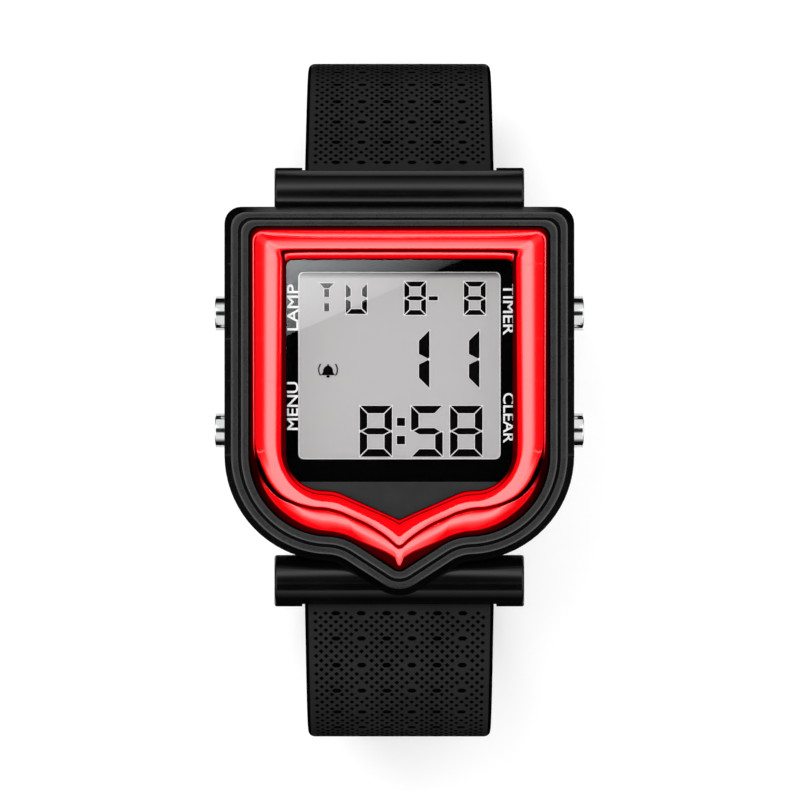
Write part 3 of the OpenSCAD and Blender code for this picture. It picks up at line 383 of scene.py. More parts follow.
# outline of the case and of the dial opening, the same curves as the solids have
outlines = {
    "case": dict(half=21, top=23.2, corner=2, lowY=-6.6, lowR=12.7, cove=4, slope=33, down=23.46, tip=4.2),
    "dial": dict(half=13.6, top=16.86, corner=0.8, lowY=-6.4, lowR=4.5, cove=5, slope=24, down=14.35, tip=0.5),
}
dialFrame = dict(
    wallIn=2.97, topShare=0.8, sidePoints=18, foot=0.45,
    # how the section changes along one half of the frame, from 12 o'clock (station 0) by the upper corner
    # (4 to 12), the side (13 to 30), the lower corner (31 to 57) and the hollow (58 to 69) to 6 o'clock (84);
    # places are shares of the way in, heights are above the case top
    wall=[(0, 0.13), (8, 0.12), (12, 0.1), (30, 0.12), (33, 0.2), (47, 0.2), (51, 0.17), (56, 0.13), (62, 0.12),
          (69, 0.14), (73, 0.27), (76, 0.24), (80, 0.14), (84, 0.06)],
    wallHeight=[(0, 1.89), (3.4, 1.87), (5.6, 1.62), (12, 1.57), (30, 1.57), (35, 1.5), (47, 1.5), (51, 1.7),
                (68, 1.7), (73, 2.35), (76, 2.3), (84, 1.85)],
    # painted shade on the outer wall: how dark its base colour is made
    wallShade=[(0, 0.92), (5, 0.93), (12, 0.97), (30, 0.975), (35, 0.99), (43, 0.97), (56, 0.94), (84, 0.95)],
    crease=[(0, 0.33), (3.4, 0.32), (6, 0.165), (12, 0.145), (30, 0.15), (32, 0.225), (35, 0.28),
            (39, 0.335), (43, 0.4), (47, 0.5), (51, 0.565), (56, 0.6), (62, 0.57), (69, 0.57), (71, 0.6),
            (73, 0.55), (74, 0.475), (84, 0.463)],
    creaseHalf=[(0, 0.02), (8, 0.015), (10, 0.012), (30, 0.014), (32, 0.06), (35, 0.08), (39, 0.07),
                (43, 0.055), (47, 0.038), (84, 0.034)],
    creaseDepth=[(0, 0.0), (8, 0.01), (12, 0.03), (30, 0.03), (32, 0.25), (35, 0.3), (43, 0.3), (50, 0.14),
                 (84, 0.14)],
    # painted shade in the crease
    creaseShade=[(0, 0), (8, 0), (12, 0.75), (30, 0.8), (32, 1), (40, 1), (47, 0.97), (51, 0.82), (84, 0.8)],
    outerCrest=[(0, 2.37), (3.4, 2.34), (5.6, 1.76), (12, 1.62), (30, 1.62), (35, 1.65), (39, 1.95), (43, 2.3),
                (47, 2.55), (51, 2.7), (56, 2.75), (73, 2.75), (84, 2.72)],
    innerFoot=[(0, 2.39), (3.4, 2.36), (5.6, 1.78), (12, 1.62), (30, 1.66), (32, 2.09), (35, 2.42), (39, 2.47),
               (43, 2.55), (47, 2.69), (51, 2.82), (56, 2.87), (62, 2.83), (69, 2.81), (73, 2.8), (74, 2.78),
               (84, 2.78)],
    crest=[(0, 0.655), (5, 0.66), (8, 0.74), (10, 0.8), (12, 0.83), (20, 0.81), (30, 0.78), (35, 0.79),
           (39, 0.81), (47, 0.81), (51, 0.79), (56, 0.77), (68, 0.76), (72, 0.77), (73, 0.75), (74, 0.69),
           (84, 0.68)],
    crestHeight=[(0, 2.95), (5, 2.98), (10, 3.1), (51, 3.1), (56, 3.08), (84, 3.08)],
    edge=[(0, 0.735), (4.5, 0.745), (7, 0.82), (9, 0.91), (12, 0.92), (20, 0.9), (30, 0.88), (35, 0.91),
          (43, 0.93), (56, 0.92), (62, 0.915), (69, 0.92), (73, 0.945), (76, 0.92), (84, 0.92)],
    edgeHalf=[(0, 0.055), (4, 0.055), (6, 0.07), (8, 0.06), (10, 0.03), (12, 0.02), (30, 0.02), (84, 0.02)],
    edgeDepth=[(0, 0.42), (8, 0.4), (10, 0.3), (12, 0.25), (30, 0.25), (43, 0.15), (84, 0.14)],
    # painted shade in the groove at the inner edge
    edgeShade=[(0, 0.96), (8, 0.99), (12, 0.94), (30, 0.94), (43, 0.82), (84, 0.8)],
    rimHeight=[(0, 2.72), (8, 2.7), (12, 2.75), (30, 2.75), (43, 2.9), (47, 2.97), (84, 2.97)],
    # painted shade on the rim by the glass
    rimShade=[(0, 0), (6, 0), (9, 0.94), (39, 0.94), (47, 0.2), (84, 0.2)],
    endHeight=[(0, 2.45), (12, 2.3), (30, 2.3), (43, 2.6), (84, 2.7)],
    # painted shade on the outer lobe where the lower corner begins
    lobeShade=[(0, 0), (30, 0), (32, 0.97), (36, 0.9), (40, 0), (84, 0)],
    outerBow=[(0, 0.9), (4, 0.9), (12, 1), (30, 1), (39, 0), (43, 0), (50, 1.1), (70, 1.1), (76, 0.3), (84, 0.3)],
    innerBow=[(0, 0.45), (3.4, 0.45), (6, 1), (30, 1), (32, 0.7), (35, 0.15), (47, 0.1), (84, 0.2)],
    # over how many stations to each side the frame is evened out
    soften=[(0, 0), (2, 0), (4, 1), (7, 1), (9, 0), (74, 0), (77, 2), (80, 4), (84, 4)],
    # rise of a lobe from its foot to its crest
    bow=[(0, 0), (0.18, 0.325), (0.36, 0.63), (0.42, 0.69), (0.5, 0.755), (0.6, 0.82), (0.75, 0.905),
         (0.9, 0.985), (1, 1)])


def rightHalf(shape, d, e, sidePoints):
    # from the middle of the top edge down to the point, drawn in by d at the sides and e at the top
    r = max(0.4, shape["corner"] - d/4)
    x = shape["half"] - d
    top = shape["top"] - e - r
    a = Vector((shape["half"] - shape["lowR"], shape["lowY"]))
    t = math.radians(shape["slope"])
    n = Vector((math.sin(t), -math.cos(t)))
    u = Vector((math.cos(t), math.sin(t)))
    p = Vector((0, shape["tip"] - shape["down"])) + (shape["tip"] + shape["cove"])*n
    w = p - a
    b = w.dot(u)
    k = -b - math.sqrt(b*b - w.dot(w) + (shape["lowR"] + shape["cove"])**2)
    c = p + k*u
    g = math.degrees(math.atan2(c.y - a.y, c.x - a.x))
    points = [(x*0.25*i, shape["top"] - e) for i in range(4)]
    points += arc(x - r, top, r, 90, 0, 8)
    points += [(x, top + (shape["lowY"] - top)*i/(sidePoints + 1)) for i in range(1, sidePoints + 1)]
    points += arc(a.x, a.y, shape["lowR"] - d, 0, g, 26)
    points += arc(c.x, c.y, shape["cove"] + d, g + 180, 90 + shape["slope"], 12)[1:]
    start, end = points[-1], arc(0, shape["tip"] - shape["down"], shape["tip"] - d, shape["slope"] - 90, -90, 10)
    points += [tuple(Vector(start).lerp(Vector(end[0]), i/5)) for i in range(1, 5)]
    return points + end


def between(table, at):
    # straight-line reading of a list of (place, value)
    for (a, low), (b, high) in zip(table, table[1:]):
        if at <= b:
            return low + (high - low)*(at - a)/(b - a)
    return table[-1][1]


def frameRows(station):
    # the section of the frame at a station: share of the way in, height above the case top, painted shade
    # (how dark the base colour is made), and whether the surface from here to the next row is bare of clear coat
    at = {name: between(table, station) for name, table in dialFrame.items()
          if isinstance(table, list) and name != "bow"}
    foot = dialFrame["foot"]
    # painted shade on the outer wall, full at its foot
    rows = [(at["wall"]*k, foot + (at["wallHeight"] - foot)*h, min(1, tint + at["wallShade"]), 1)
            for k, h, tint in ((0, 0, 1), (0.25, 0.5, 0), (0.6, 0.84, 0), (0.88, 0.97, 0))]

    def lobe(u0, u1, h0, h1, bow, shares, tint):
        for f in shares:
            rise = f + (between(dialFrame["bow"], f) - f)*bow
            rows.append((u0 + (u1 - u0)*f, h0 + (h1 - h0)*rise, tint, tint > 0.5 or (f == 0 and station < 5)))

    c, w, depth, dark = at["crease"], at["creaseHalf"], at["creaseDepth"], at["creaseShade"]
    lobe(at["wall"], c - w, at["wallHeight"], at["outerCrest"], at["outerBow"], (0, 0.16, 0.4, 0.65, 0.88),
         at["lobeShade"])
    low = min(at["outerCrest"], at["innerFoot"])
    # the crease rows carry its painted shade
    rows += [(c - w, at["outerCrest"], at["lobeShade"], dark > 0), (c - 0.8*w, low - 0.3*depth, dark, dark > 0),
             (c, low - depth, dark, dark > 0), (c + 0.8*w, low - 0.3*depth, dark, dark > 0)]
    lobe(c + w, at["crest"], at["innerFoot"], at["crestHeight"], at["innerBow"],
         (0, 0.18, 0.36, 0.42, 0.5, 0.6, 0.75, 0.9, 1), 0)
    e, w, depth, top = at["edge"], at["edgeHalf"], at["edgeDepth"], at["crestHeight"]
    rim = e + w
    dull = station > 8
    # the rows by the glass carry painted shade in the groove at the edge, on the rim and at the inner end
    rows += [(max(at["crest"] + 0.01, e - 2.6*w), top, 0, dull), (e - 1.4*w, top, 0, 1),
             (e - w, top - 0.01, 0, 1), (e - 0.7*w, top - 0.8*depth, at["edgeShade"], 1),
             (e + 0.4*w, top - depth, at["edgeShade"], 1),
             (rim, at["rimHeight"] - 0.4*(1 - rim), at["rimShade"], dull),
             (rim + 0.35*(1 - rim), at["rimHeight"], at["rimShade"], 1),
             (rim + 0.75*(1 - rim), at["rimHeight"], max(0.3, at["rimShade"]), 1), (1, at["endHeight"], 0.9, 1)]
    return rows


def mirrored(points):
    return points + [(-x, y) for x, y in reversed(points[1:-1])]


def bandGrid(bm, columns, rows):
    # a grid, and for each of its corners the column and the row, ready to be laid round the dial
    bmesh.ops.create_grid(bm, x_segments=columns, y_segments=rows, size=1)
    for v in bm.verts:
        yield v, round((v.co.x + 1)/2*columns), round((v.co.y + 1)/2*rows)


def layBand(bm, shapes, heights):
    # a band of one closed outline for each row, at its height, in mm
    for v, i, j in bandGrid(bm, len(shapes[0]), len(shapes) - 1):
        v.co = Vector((*shapes[j][i % len(shapes[0])], heights[j]))*mm


def makeDialFrame():
    look = dialFrame
    outer = mirrored(rightHalf(outlines["case"], look["wallIn"], look["wallIn"]*look["topShare"],
                               look["sidePoints"]))
    inner = mirrored(rightHalf(outlines["dial"], 0, 0, look["sidePoints"]))
    half = len(outer)//2
    sections = [[(0, 0, 1, 1)] + frameRows(station) + [(1, 0, 1, 1), (0, 0, 1, 1)] for station in range(half + 1)]
    bm = bmesh.new()
    paintedShade = bm.verts.layers.float.new("paintedShade")
    place = {}

    def spot(i, j):
        u, height = sections[min(i % len(outer), len(outer) - i % len(outer))][j][:2]
        at = Vector(outer[i % len(outer)]).lerp(Vector(inner[i % len(outer)]), u)
        return Vector((at.x, at.y, levels["caseTop"] + height))

    for v, i, j in bandGrid(bm, len(outer), len(sections[0]) - 1):
        place[v] = i, j
        station = min(i % len(outer), len(outer) - i % len(outer))
        reach = round(between(look["soften"], station)) if 0 < sections[station][j][0] < 0.99 else 0
        near = [spot(i + k, j) for k in range(-reach, reach + 1)]
        v.co = sum(near, Vector())/len(near)*mm
        # each corner carries the painted shade of its row
        v[paintedShade] = sections[station][j][2]
    for face in bm.faces:
        i, j = (min(place[v][k] for v in face.verts) for k in (0, 1))
        face.material_index = int(sections[min(i, len(outer) - 1 - i)][j][3])
    piece = pieceFrom(bm, "dialFrame", "case", finish["redLacquer"], ["dial_frame"], 85)
    # the second slot is the uncoated copy of the red, for faces darkened with painted shade and the bare rows
    piece.data.materials.append(finish["redBareShade"])
    smooth = piece.modifiers.new("smooth", "SUBSURF")
    smooth.levels = smooth.render_levels = 2


makeDialFrame()

# dark rings: how far their edges lie in from the case edge, their height, and the fall at their outer edge
rings = {
    "outerRing": dict(node="outer_ring", start=0.8, end=1.62, height=0.5, fall=0.035, lip=0.14),
    "innerRing": dict(node="inner_ring", start=2.0, end=2.85, height=1.0, fall=0.035, lip=0.14),
}


def makeRing(name):
    look = rings[name]
    a, b, h, f, lip = look["start"], look["end"], look["height"], look["fall"], look["lip"]
    section = [(a, 0), (a, h - f - 0.05), (a + 0.012, h - f - 0.015), (a + 0.03, h - f), (a + lip, h - 0.008),
               (a + lip + 0.03, h), (b - 0.05, h), (b - 0.015, h - 0.01), (b, h - 0.05), (b, 0), (a, 0)]
    shapes = [mirrored(rightHalf(outlines["case"], d, d*dialFrame["topShare"], 4)) for d, z in section]
    bm = bmesh.new()
    layBand(bm, shapes, [levels["caseTop"] + z for d, z in section])
    pieceFrom(bm, name, "case", finish["ringBlack"], [look["node"]], 50)


for name in rings:
    makeRing(name)
print("case and dial frame made")

# solids that keep their shape and only get a finish
nodeFinish = {
    "crystal": "clearGlass", "crystal_gasket": "sealBlack", "display_mask": "maskBlack", "lcd_panel": "cellGrey",
    "lcd_holder": "holderWhite", "light_panel": "filmGreen", "connector_strips": "stripPink",
    "circuit_board": "boardGreen", "control_chip": "chipBlack", "quartz_can": "plainSteel",
    "module_frame": "moduleGrey", "button_contacts": "brass", "battery": "plainSteel",
    "battery_clip": "plainSteel", "buzzer": "brass", "back_gasket": "sealBlack", "case_back_screws": "plainSteel",
    "pin_upper": "plainSteel", "pin_lower": "plainSteel", "buckle_bar": "plainSteel"}
for place in ("upper_left", "lower_left", "upper_right", "lower_right"):
    nodeFinish["seal_" + place] = "sealBlack"
    nodeFinish["clip_" + place] = "plainSteel"
for node, name in nodeFinish.items():
    nodes[node].data.materials.clear()
    nodes[node].data.materials.append(finish[name])


# display figures and labels

# halo is how far the light grey painted highlight reaches out round the figures
display = dict(lift=0.05, gap=0.09, halo=0.085, haloLift=0.02, windowLift=0.01,
               window=dict(left=298.3, right=500.6, top=271.6, bottom=459.2, corner=6, wide=0.14, high=0.4),
               bell=dict(at=(328, 371), clapperWide=0.22, clapperTall=0.15, clapperUp=-0.66, waveNear=1.05,
                         waveFar=1.2, waveSpread=38, waveUp=0.15, body=[
                             (-0.85, -0.5), (0.85, -0.5), (0.62, -0.18), (0.55, 0.25), (0.36, 0.52), (0.1, 0.64),
                             (0.1, 0.8), (-0.1, 0.8), (-0.1, 0.64), (-0.36, 0.52), (-0.55, 0.25), (-0.62, -0.18)]))
# mm for each pixel of the view, and the pixel over the middle of the watch
view = dict(px=0.12, centre=(399.3, 400))


def viewPlace(u, v):
    # mm from the middle of the watch for a pixel of the view
    return (u - view["centre"][0])*view["px"], (view["centre"][1] - v)*view["px"]


def barShapes(w, h, t, g):
    # seven bars of a figure, each cut at 45 degrees where it meets the next, and the stem of a T
    x, y, m = w/2, h/2, t/2
    return {
        "top": [(-x + g, y), (x - g, y), (x - t - g, y - t), (-x + t + g, y - t)],
        "bottom": [(-x + g, -y), (-x + t + g, -y + t), (x - t - g, -y + t), (x - g, -y)],
        "middle": [(-x + g + 0.25*t, 0), (-x + t + g, m*0.85), (x - t - g, m*0.85), (x - g - 0.25*t, 0),
                   (x - t - g, -m*0.85), (-x + t + g, -m*0.85)],
        "upLeft": [(-x, y - g), (-x + t, y - t - g), (-x + t, m*0.85 + g), (-x + 0.15*t, g), (-x, 2.2*g)],
        "upRight": [(x, y - g), (x, 2.2*g), (x - 0.15*t, g), (x - t, m*0.85 + g), (x - t, y - t - g)],
        "lowLeft": [(-x, -y + g), (-x, -2.2*g), (-x + 0.15*t, -g), (-x + t, -m*0.85 - g), (-x + t, -y + t + g)],
        "lowRight": [(x, -y + g), (x - t, -y + t + g), (x - t, -m*0.85 - g), (x - 0.15*t, -g), (x, -2.2*g)],
        "stemUp": [(-m, y - t - g), (m, y - t - g), (m, t/2 + g), (-m, t/2 + g)],
        "stemDown": [(-m, -t/2 - g), (m, -t/2 - g), (m, t + g - y), (-m, t + g - y)],
    }


figureBars = {
    "8": ("top", "bottom", "middle", "upLeft", "upRight", "lowLeft", "lowRight"),
    "5": ("top", "upLeft", "middle", "lowRight", "bottom"), "1": ("upRight", "lowRight"),
    "T": ("top", "stemUp", "stemDown"), "U": ("upLeft", "lowLeft", "bottom", "lowRight", "upRight")}
# each figure: its shape, then its box in the view: left, top, right, bottom, and the bar thickness
figures = [
    ("T", 318.5, 283.2, 334.8, 317, 5.0), ("U", 345.7, 283, 367, 314, 5.0), ("8", 404.3, 281.5, 426, 315, 5.0),
    ("8", 463.8, 281.5, 485.6, 315, 5.0), ("1", 396, 329.5, 429.4, 389, 10.6),
    ("1", 446, 329.5, 479.4, 389, 10.6), ("8", 359.6, 405.7, 392, 456.7, 7.6),
    ("5", 411, 405.7, 442.7, 456.7, 7.6), ("8", 450, 405.7, 482.4, 456.7, 7.6)]
dots = [(428.6, 296.3, 437.8, 300.4), (396.8, 417.7, 405, 426), (396.8, 435.8, 405, 444.3)]


def addFlat(bm, points, low, high):
    # a thin plate from flat points, in mm
    verts = [bm.verts.new((x*mm, y*mm, low*mm)) for x, y in points]
    face = bm.faces.new(verts)
    face.normal_update()
    made = bmesh.ops.extrude_face_region(bm, geom=[face])
    bmesh.ops.translate(bm, vec=(0, 0, (high - low)*mm),
                        verts=[v for v in made["geom"] if isinstance(v, bmesh.types.BMVert)])


def addFigures(bm, low, high, grow):
    # the figures and dots of the display, drawn out by grow
    px = view["px"]
    for shape, left, top, right, bottom, thick in figures:
        cx, cy = viewPlace((left + right)/2, (top + bottom)/2)
        bars = barShapes((right - left)*px + 2*grow, (bottom - top)*px + 2*grow, thick*px + 2*grow,
                         display["gap"] - grow)
        for bar in figureBars[shape]:
            addFlat(bm, [(cx + x, cy + y) for x, y in bars[bar]], low, high)
    for left, top, right, bottom in dots:
        (x0, y0), (x1, y1) = viewPlace(left, bottom), viewPlace(right, top)
        x0, y0, x1, y1 = x0 - grow, y0 - grow, x1 + grow, y1 + grow
        addFlat(bm, [(x0, y0), (x1, y0), (x1, y1), (x0, y1)], low, high)


def makeHalo():
    # painted highlights: a light grey edge round the figures and a light grey lip just inside the window, standing
    # in for light caught by their raised edges and the window's chamfer
    look = display["window"]
    (x0, y0), (x1, y1) = viewPlace(look["left"], look["bottom"]), viewPlace(look["right"], look["top"])
    section = [(0, 0), (0, look["high"]), (look["wide"], look["high"]), (look["wide"], 0), (0, 0)]
    shapes = []
    for d, z in section:
        r = look["corner"]*view["px"] - d
        corners = [(x1 - r - d, y1 - r - d, 0), (x0 + r + d, y1 - r - d, 90), (x0 + r + d, y0 + r + d, 180),
                   (x1 - r - d, y0 + r + d, 270)]
        shapes.append([point for cx, cy, a in corners for point in arc(cx, cy, r, a, a + 90, 6)])
    bm = bmesh.new()
    layBand(bm, shapes, [levels["cellTop"] + display["windowLift"] + z for d, z in section])
    addFigures(bm, levels["cellTop"], levels["cellTop"] + display["haloLift"], display["halo"])
    pieceFrom(bm, "lcdHalo", "case", finish["haloHighlightGrey"], smoothAngle=30)


def makeFigures():
    bm = bmesh.new()
    low, high = levels["cellTop"] + display["haloLift"], levels["cellTop"] + display["lift"]
    addFigures(bm, low, high, 0)
    # a small bell stands for the alarm
    bell = display["bell"]
    cx, cy = viewPlace(*bell["at"])
    spread, up = bell["waveSpread"], bell["waveUp"]
    flats = [bell["body"], [(bell["clapperWide"]*x, bell["clapperUp"] + bell["clapperTall"]*y)
                            for x, y in arc(0, 0, 1, 0, 324, 9)]]
    for side in (-1, 1):
        flats.append([(side*x, y) for x, y in arc(0, up, bell["waveNear"], -spread, spread, 6)
                      + arc(0, up, bell["waveFar"], spread, -spread, 6)])
    for points in flats:
        addFlat(bm, [(cx + x, cy + y) for x, y in points], low, high)
    pieceFrom(bm, "lcdFigures", "case", finish["figureBlack"], ["lcd_numerals"], 30)


makeHalo()
makeFigures()

# generic words beside the display: the pixel of the middle, the turn and the length in pixels
labels = dict(height=1.32, bold=0.012, thick=0.008, lift=0.006, words=[
    ("LAMP", 292.6, 307.5, 90, 46), ("MENU", 292.6, 406, 90, 48),
    ("TIMER", 508.6, 309.5, -90, 51), ("CLEAR", 508.6, 418, -90, 50)])


def makeLabels():
    # white print on the back of the glass
    bm = bmesh.new()
    for word, u, v, turn, length in labels["words"]:
        curve = bpy.data.curves.new(word, "FONT")
        curve.body = word
        curve.size = 1
        curve.align_x = "CENTER"
        curve.align_y = "CENTER"
        curve.resolution_u = 6
        curve.extrude = labels["thick"]
        curve.offset = labels["bold"]
        text = bpy.data.objects.new(word, curve)
        bpy.context.scene.collection.objects.link(text)
        bpy.context.view_layer.update()
        mesh = bpy.data.meshes.new_from_object(text.evaluated_get(bpy.context.evaluated_depsgraph_get()))
        xs = [p.co.x for p in mesh.vertices]
        ys = [p.co.y for p in mesh.vertices]
        stretch = (length*view["px"]/(max(xs) - min(xs)), labels["height"]/(max(ys) - min(ys)))
        mesh.transform(Matrix.Diagonal((stretch[0]*mm, stretch[1]*mm, mm, 1)) @ Matrix.Translation(
            (-(max(xs) + min(xs))/2, -(max(ys) + min(ys))/2, 0)))
        middle = Vector((*viewPlace(u, v), levels["glassFoot"] + labels["lift"]))*mm
        mesh.transform(Matrix.Translation(middle) @ Matrix.Rotation(math.radians(turn), 4, "Z"))
        bm.from_mesh(mesh)
        bpy.data.objects.remove(text)
        bpy.data.curves.remove(curve)
        bpy.data.meshes.remove(mesh)
    pieceFrom(bm, "glassLabels", "case", finish["labelWhite"], smoothAngle=30, outward=False)


makeLabels()
print("display made")


# buttons

# a button lies along x: radius of its head and of its stem, ends, and the groove of its clip (from, to, depth)
button = dict(radius=2.05, out=22.2, back=19.7, chamfer=0.1, round=0.14, dish=0.02, stem=0.8, stemEnd=16.15,
              groove=(16.36, 16.55, 0.2), height=57.1, springFoot=17.7, springKeep=0.65,
              places={"upper_left": (-1, 10.4), "lower_left": (-1, -3.65),
                      "upper_right": (1, 10.4), "lower_right": (1, -3.65)})


def placeName(place):
    return place.title().replace("_", "")


def makeButton(place):
    # a domed head on a stem, modelled on the right and turned over for the left
    side, y = button["places"][place]
    r, s, out, back, end = (button[part] for part in ("radius", "stem", "out", "back", "stemEnd"))
    c, e, dish = button["chamfer"], button["round"], button["dish"]
    a, b, deep = button["groove"]
    profile = [(end, 0), (end, s - c), (end + c, s), (a, s), (a, s - deep), (b, s - deep), (b, s), (back, s),
               (back, r - c), (back + c, r)]
    profile += [(out - e - dish + x, r - e + z) for x, z in arc(0, 0, e, 90, 8, 5)]
    profile += [(out - dish, r*0.6), (out, r*0.3), (out, 0)]
    bm = bmesh.new()
    turned(bm, profile, (0, y, button["height"]))
    if side < 0:
        bmesh.ops.scale(bm, vec=(-1, 1, 1), verts=bm.verts[:])
    piece = pieceFrom(bm, "button" + placeName(place), "button_" + place,
                      finish["buttonChrome"], ["button_" + place], 40)
    roundEdges(piece, 0.02, 40, 1)


def makeSpring(place):
    # a steel copy of the CAD spring, with a mesh of its own
    side, y = button["places"][place]
    spring = copyOf("spring_" + place, "spring" + placeName(place), finish["plainSteel"],
                    edge=0, angle=60, flat=0.01)
    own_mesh(spring)


for place in button["places"]:
    makeButton(place)
    makeSpring(place)
print("buttons made")


# strap halves

# both halves: the plain margin lies along each edge, a pit is the depth of a dot, and the top is painted
# near-black as shade within a given width of each edge
strap = dict(width=22.8, endWidth=20.0, taperLength=75, thick=2.4, neck=1.9, neckLength=3.3, rootAt=1.1,
             shoulder=0.25, row=0.254, halfColumns=34, margin=0.95, marginShares=[0, 0.06, 0.2, 0.42, 0.72, 1],
             pit=0.13, bigPit=0.2, clear=0.75, edgeRound=0.75, tipRound=0.9, edgeShadeWidth=0.41, footR=14, lean=15)
# each half's path: hinge pin, start angle, straight, bend, drop to the table and flat foot; bare is without dots
halves = {
    "upper": dict(body="strap_upper", pin=(24.8, 58.0), sign=1, droop=37, straight=10.85, bend=14.8,
                  drop=55.5, flat=9, end=1.2, holes=0, tip=0, bare=2.9),
    "lower": dict(body="strap_lower", pin=(-21.7, 58.0), sign=-1, droop=6, straight=8, bend=10.8,
                  drop=56.8, flat=18, end=0, holes=7, tip=8, bare=1.5),
}
holes = dict(radius=1.2, pitch=6.1, first=13)
knuckle = dict(half=11.4, radius=1.9, bore=0.8, chamfer=0.12)
bar = dict(loopR=1.9, boreR=0.85, notch=1.6, loopEnd=10.0, y=13.3105)


def strapLegs(half):
    # lengths and turns of the strap's path: off the pin, a bend, a leaning side, a bend and the foot on the table
    s = math.sin(math.radians(strap["lean"]))
    side = (half["drop"] - half["straight"]*math.sin(math.radians(half["droop"]))
            - half["bend"]*math.cos(math.radians(half["droop"])) - strap["footR"]*(1 - s))/s
    turn = math.radians
    return [(half["straight"], 0), (half["bend"]*turn(90 - half["droop"]), 90 - half["droop"]),
            (side*turn(strap["lean"]), strap["lean"]),
            (strap["footR"]*turn(90 - strap["lean"]), 90 - strap["lean"]), (half["flat"], 0)]


def strapPlace(half, legs, s):
    # (outward, height, heading in degrees) at a length s from the hinge pin
    y, z, a = 0.0, 0.0, half["droop"]
    for i, (length, turn) in enumerate(legs):
        part = s if i == len(legs) - 1 or s < length else length
        if turn:
            r = length/math.radians(turn)
            b = a + turn*part/length
            y += r*(math.sin(math.radians(b)) - math.sin(math.radians(a)))
            z += r*(math.cos(math.radians(b)) - math.cos(math.radians(a)))
            a = b
        else:
            y += part*math.cos(math.radians(a))
            z -= part*math.sin(math.radians(a))
        s -= part
        if s <= 0 and part < length:
            break
    return y, z, a


def halfWidth(half, s, total):
    # half the width at a length s, tapered, and rounded at the tip
    w = (strap["width"] - (strap["width"] - strap["endWidth"])*min(1, max(0, s)/strap["taperLength"]))/2
    if half["tip"] and s > total - half["tip"]:
        k = (s - (total - half["tip"]))/half["tip"]
        w *= max(0.3, math.sqrt(max(0, 1 - 0.92*k*k)))
    return w


def dotKind(column, row):
    # 2 for a large dot, 1 for a small one, 0 for none
    row %= 6
    if row == 0:
        if column in (4, 9, 14, 19, 24, 29):
            return 2
        return 1 if column % 2 == 0 and column not in (8, 10, 18, 20, 28, 30) else 0
    if row in (1, 3, 5):
        if column in (9, 19, 29):
            return 1 if row == 3 else 0
        return column % 2
    return 1 - column % 2


def makeStrap(name):
    half = halves[name]
    legs = strapLegs(half)
    total = sum(leg[0] for leg in legs)
    holeAt = [total - holes["first"] - i*holes["pitch"] for i in range(half["holes"])]
    bm = bmesh.new()
    layers = {layer: bm.verts.layers.float.new(layer) for layer in ("pit", "across", "along", "depth")}
    layStrip(bm, half, layers, total, holeAt)
    cutOpenings(bm, layers, total, holeAt)
    bendStrip(bm, half, layers, total, legs)
    cutDots(bm, half, layers, total)
    piece = pieceFrom(bm, "strap" + name.title(), half["body"], finish["strapRubber"],
                      [half["body"]], 60)
    # second slot: the near-black painted shade for the pits and the top edges
    piece.data.materials.append(finish["strapShadeBlack"])


def layStrip(bm, half, layers, total, holeAt):
    # the strap's flat strip, x across and y along from the hinge pin, with the deep points of its dots marked
    last = total - half["end"]
    start = strap["neckLength"] + strap["shoulder"]
    rowCount = int((last - start)/strap["row"])
    rows = [strap["rootAt"], strap["neckLength"], start]
    rows += [start + strap["row"]*(i + 1) for i in range(rowCount)]
    rows[-1] = last
    edgeShare, inside = strap["marginShares"], strap["halfColumns"]
    edgeColumns = len(edgeShare) - 1
    middle = edgeColumns + inside
    bmesh.ops.create_grid(bm, x_segments=2*middle, y_segments=len(rows) - 1, size=1)
    for v in bm.verts:
        i = round((v.co.x + 1)*middle)
        j = round((v.co.y + 1)/2*(len(rows) - 1))
        s = rows[j]
        w = halfWidth(half, s, total)
        if i < edgeColumns:
            x = -w + strap["margin"]*edgeShare[i]
        elif i > 2*middle - edgeColumns:
            x = w - strap["margin"]*edgeShare[2*middle - i]
        else:
            x = (w - strap["margin"])*(i - middle)/inside
        v[layers["across"]], v[layers["along"]] = x, s
        v.co = Vector((x, s, 0))*mm
        # no dots at the root, at the end, round the holes or on the tip
        if (s < start + 0.05 or s > last - half["bare"] or (half["tip"] and s > total - half["tip"]*0.55)
                or any(math.hypot(x, s - h) < holes["radius"] + strap["clear"] for h in holeAt)):
            continue
        # a small dot is one deep point, a large one three; the number tells how deep
        for side, small, big in ((0, 0.75, 1), (1, 0, 0.85), (-1, 0, 0.85)):
            a, b = i - edgeColumns - 1 + side, j - 3
            if a % 2 or b % 2 or not 0 <= a//2 < inside or b < 0:
                continue
            v[layers["pit"]] = max(v[layers["pit"]], (0, small, big)[dotKind(a//2, b//2)])


def cutOpenings(bm, layers, total, holeAt):
    # the holes for the tongue, with round rims, or the notch where the tongue sits on its bar
    gone = []
    for f in bm.faces:
        c = f.calc_center_median()/mm
        if any(math.hypot(c.x, c.y - h) < holes["radius"] for h in holeAt):
            gone.append(f)
        elif not holeAt and abs(c.x) < bar["notch"] and c.y > total - bar["loopR"] - 0.5:
            gone.append(f)
    bmesh.ops.delete(bm, geom=gone, context="FACES")
    for h in holeAt:
        middle = Vector((0, h, 0))*mm
        rim = [v for v in bm.verts if v.is_boundary and (v.co - middle).length/mm < holes["radius"] + 0.4]
        for v in rim:
            v.co = middle + (v.co - middle).normalized()*holes["radius"]*mm
            v[layers["across"]], v[layers["along"]], v[layers["pit"]] = v.co.x/mm, v.co.y/mm, 0


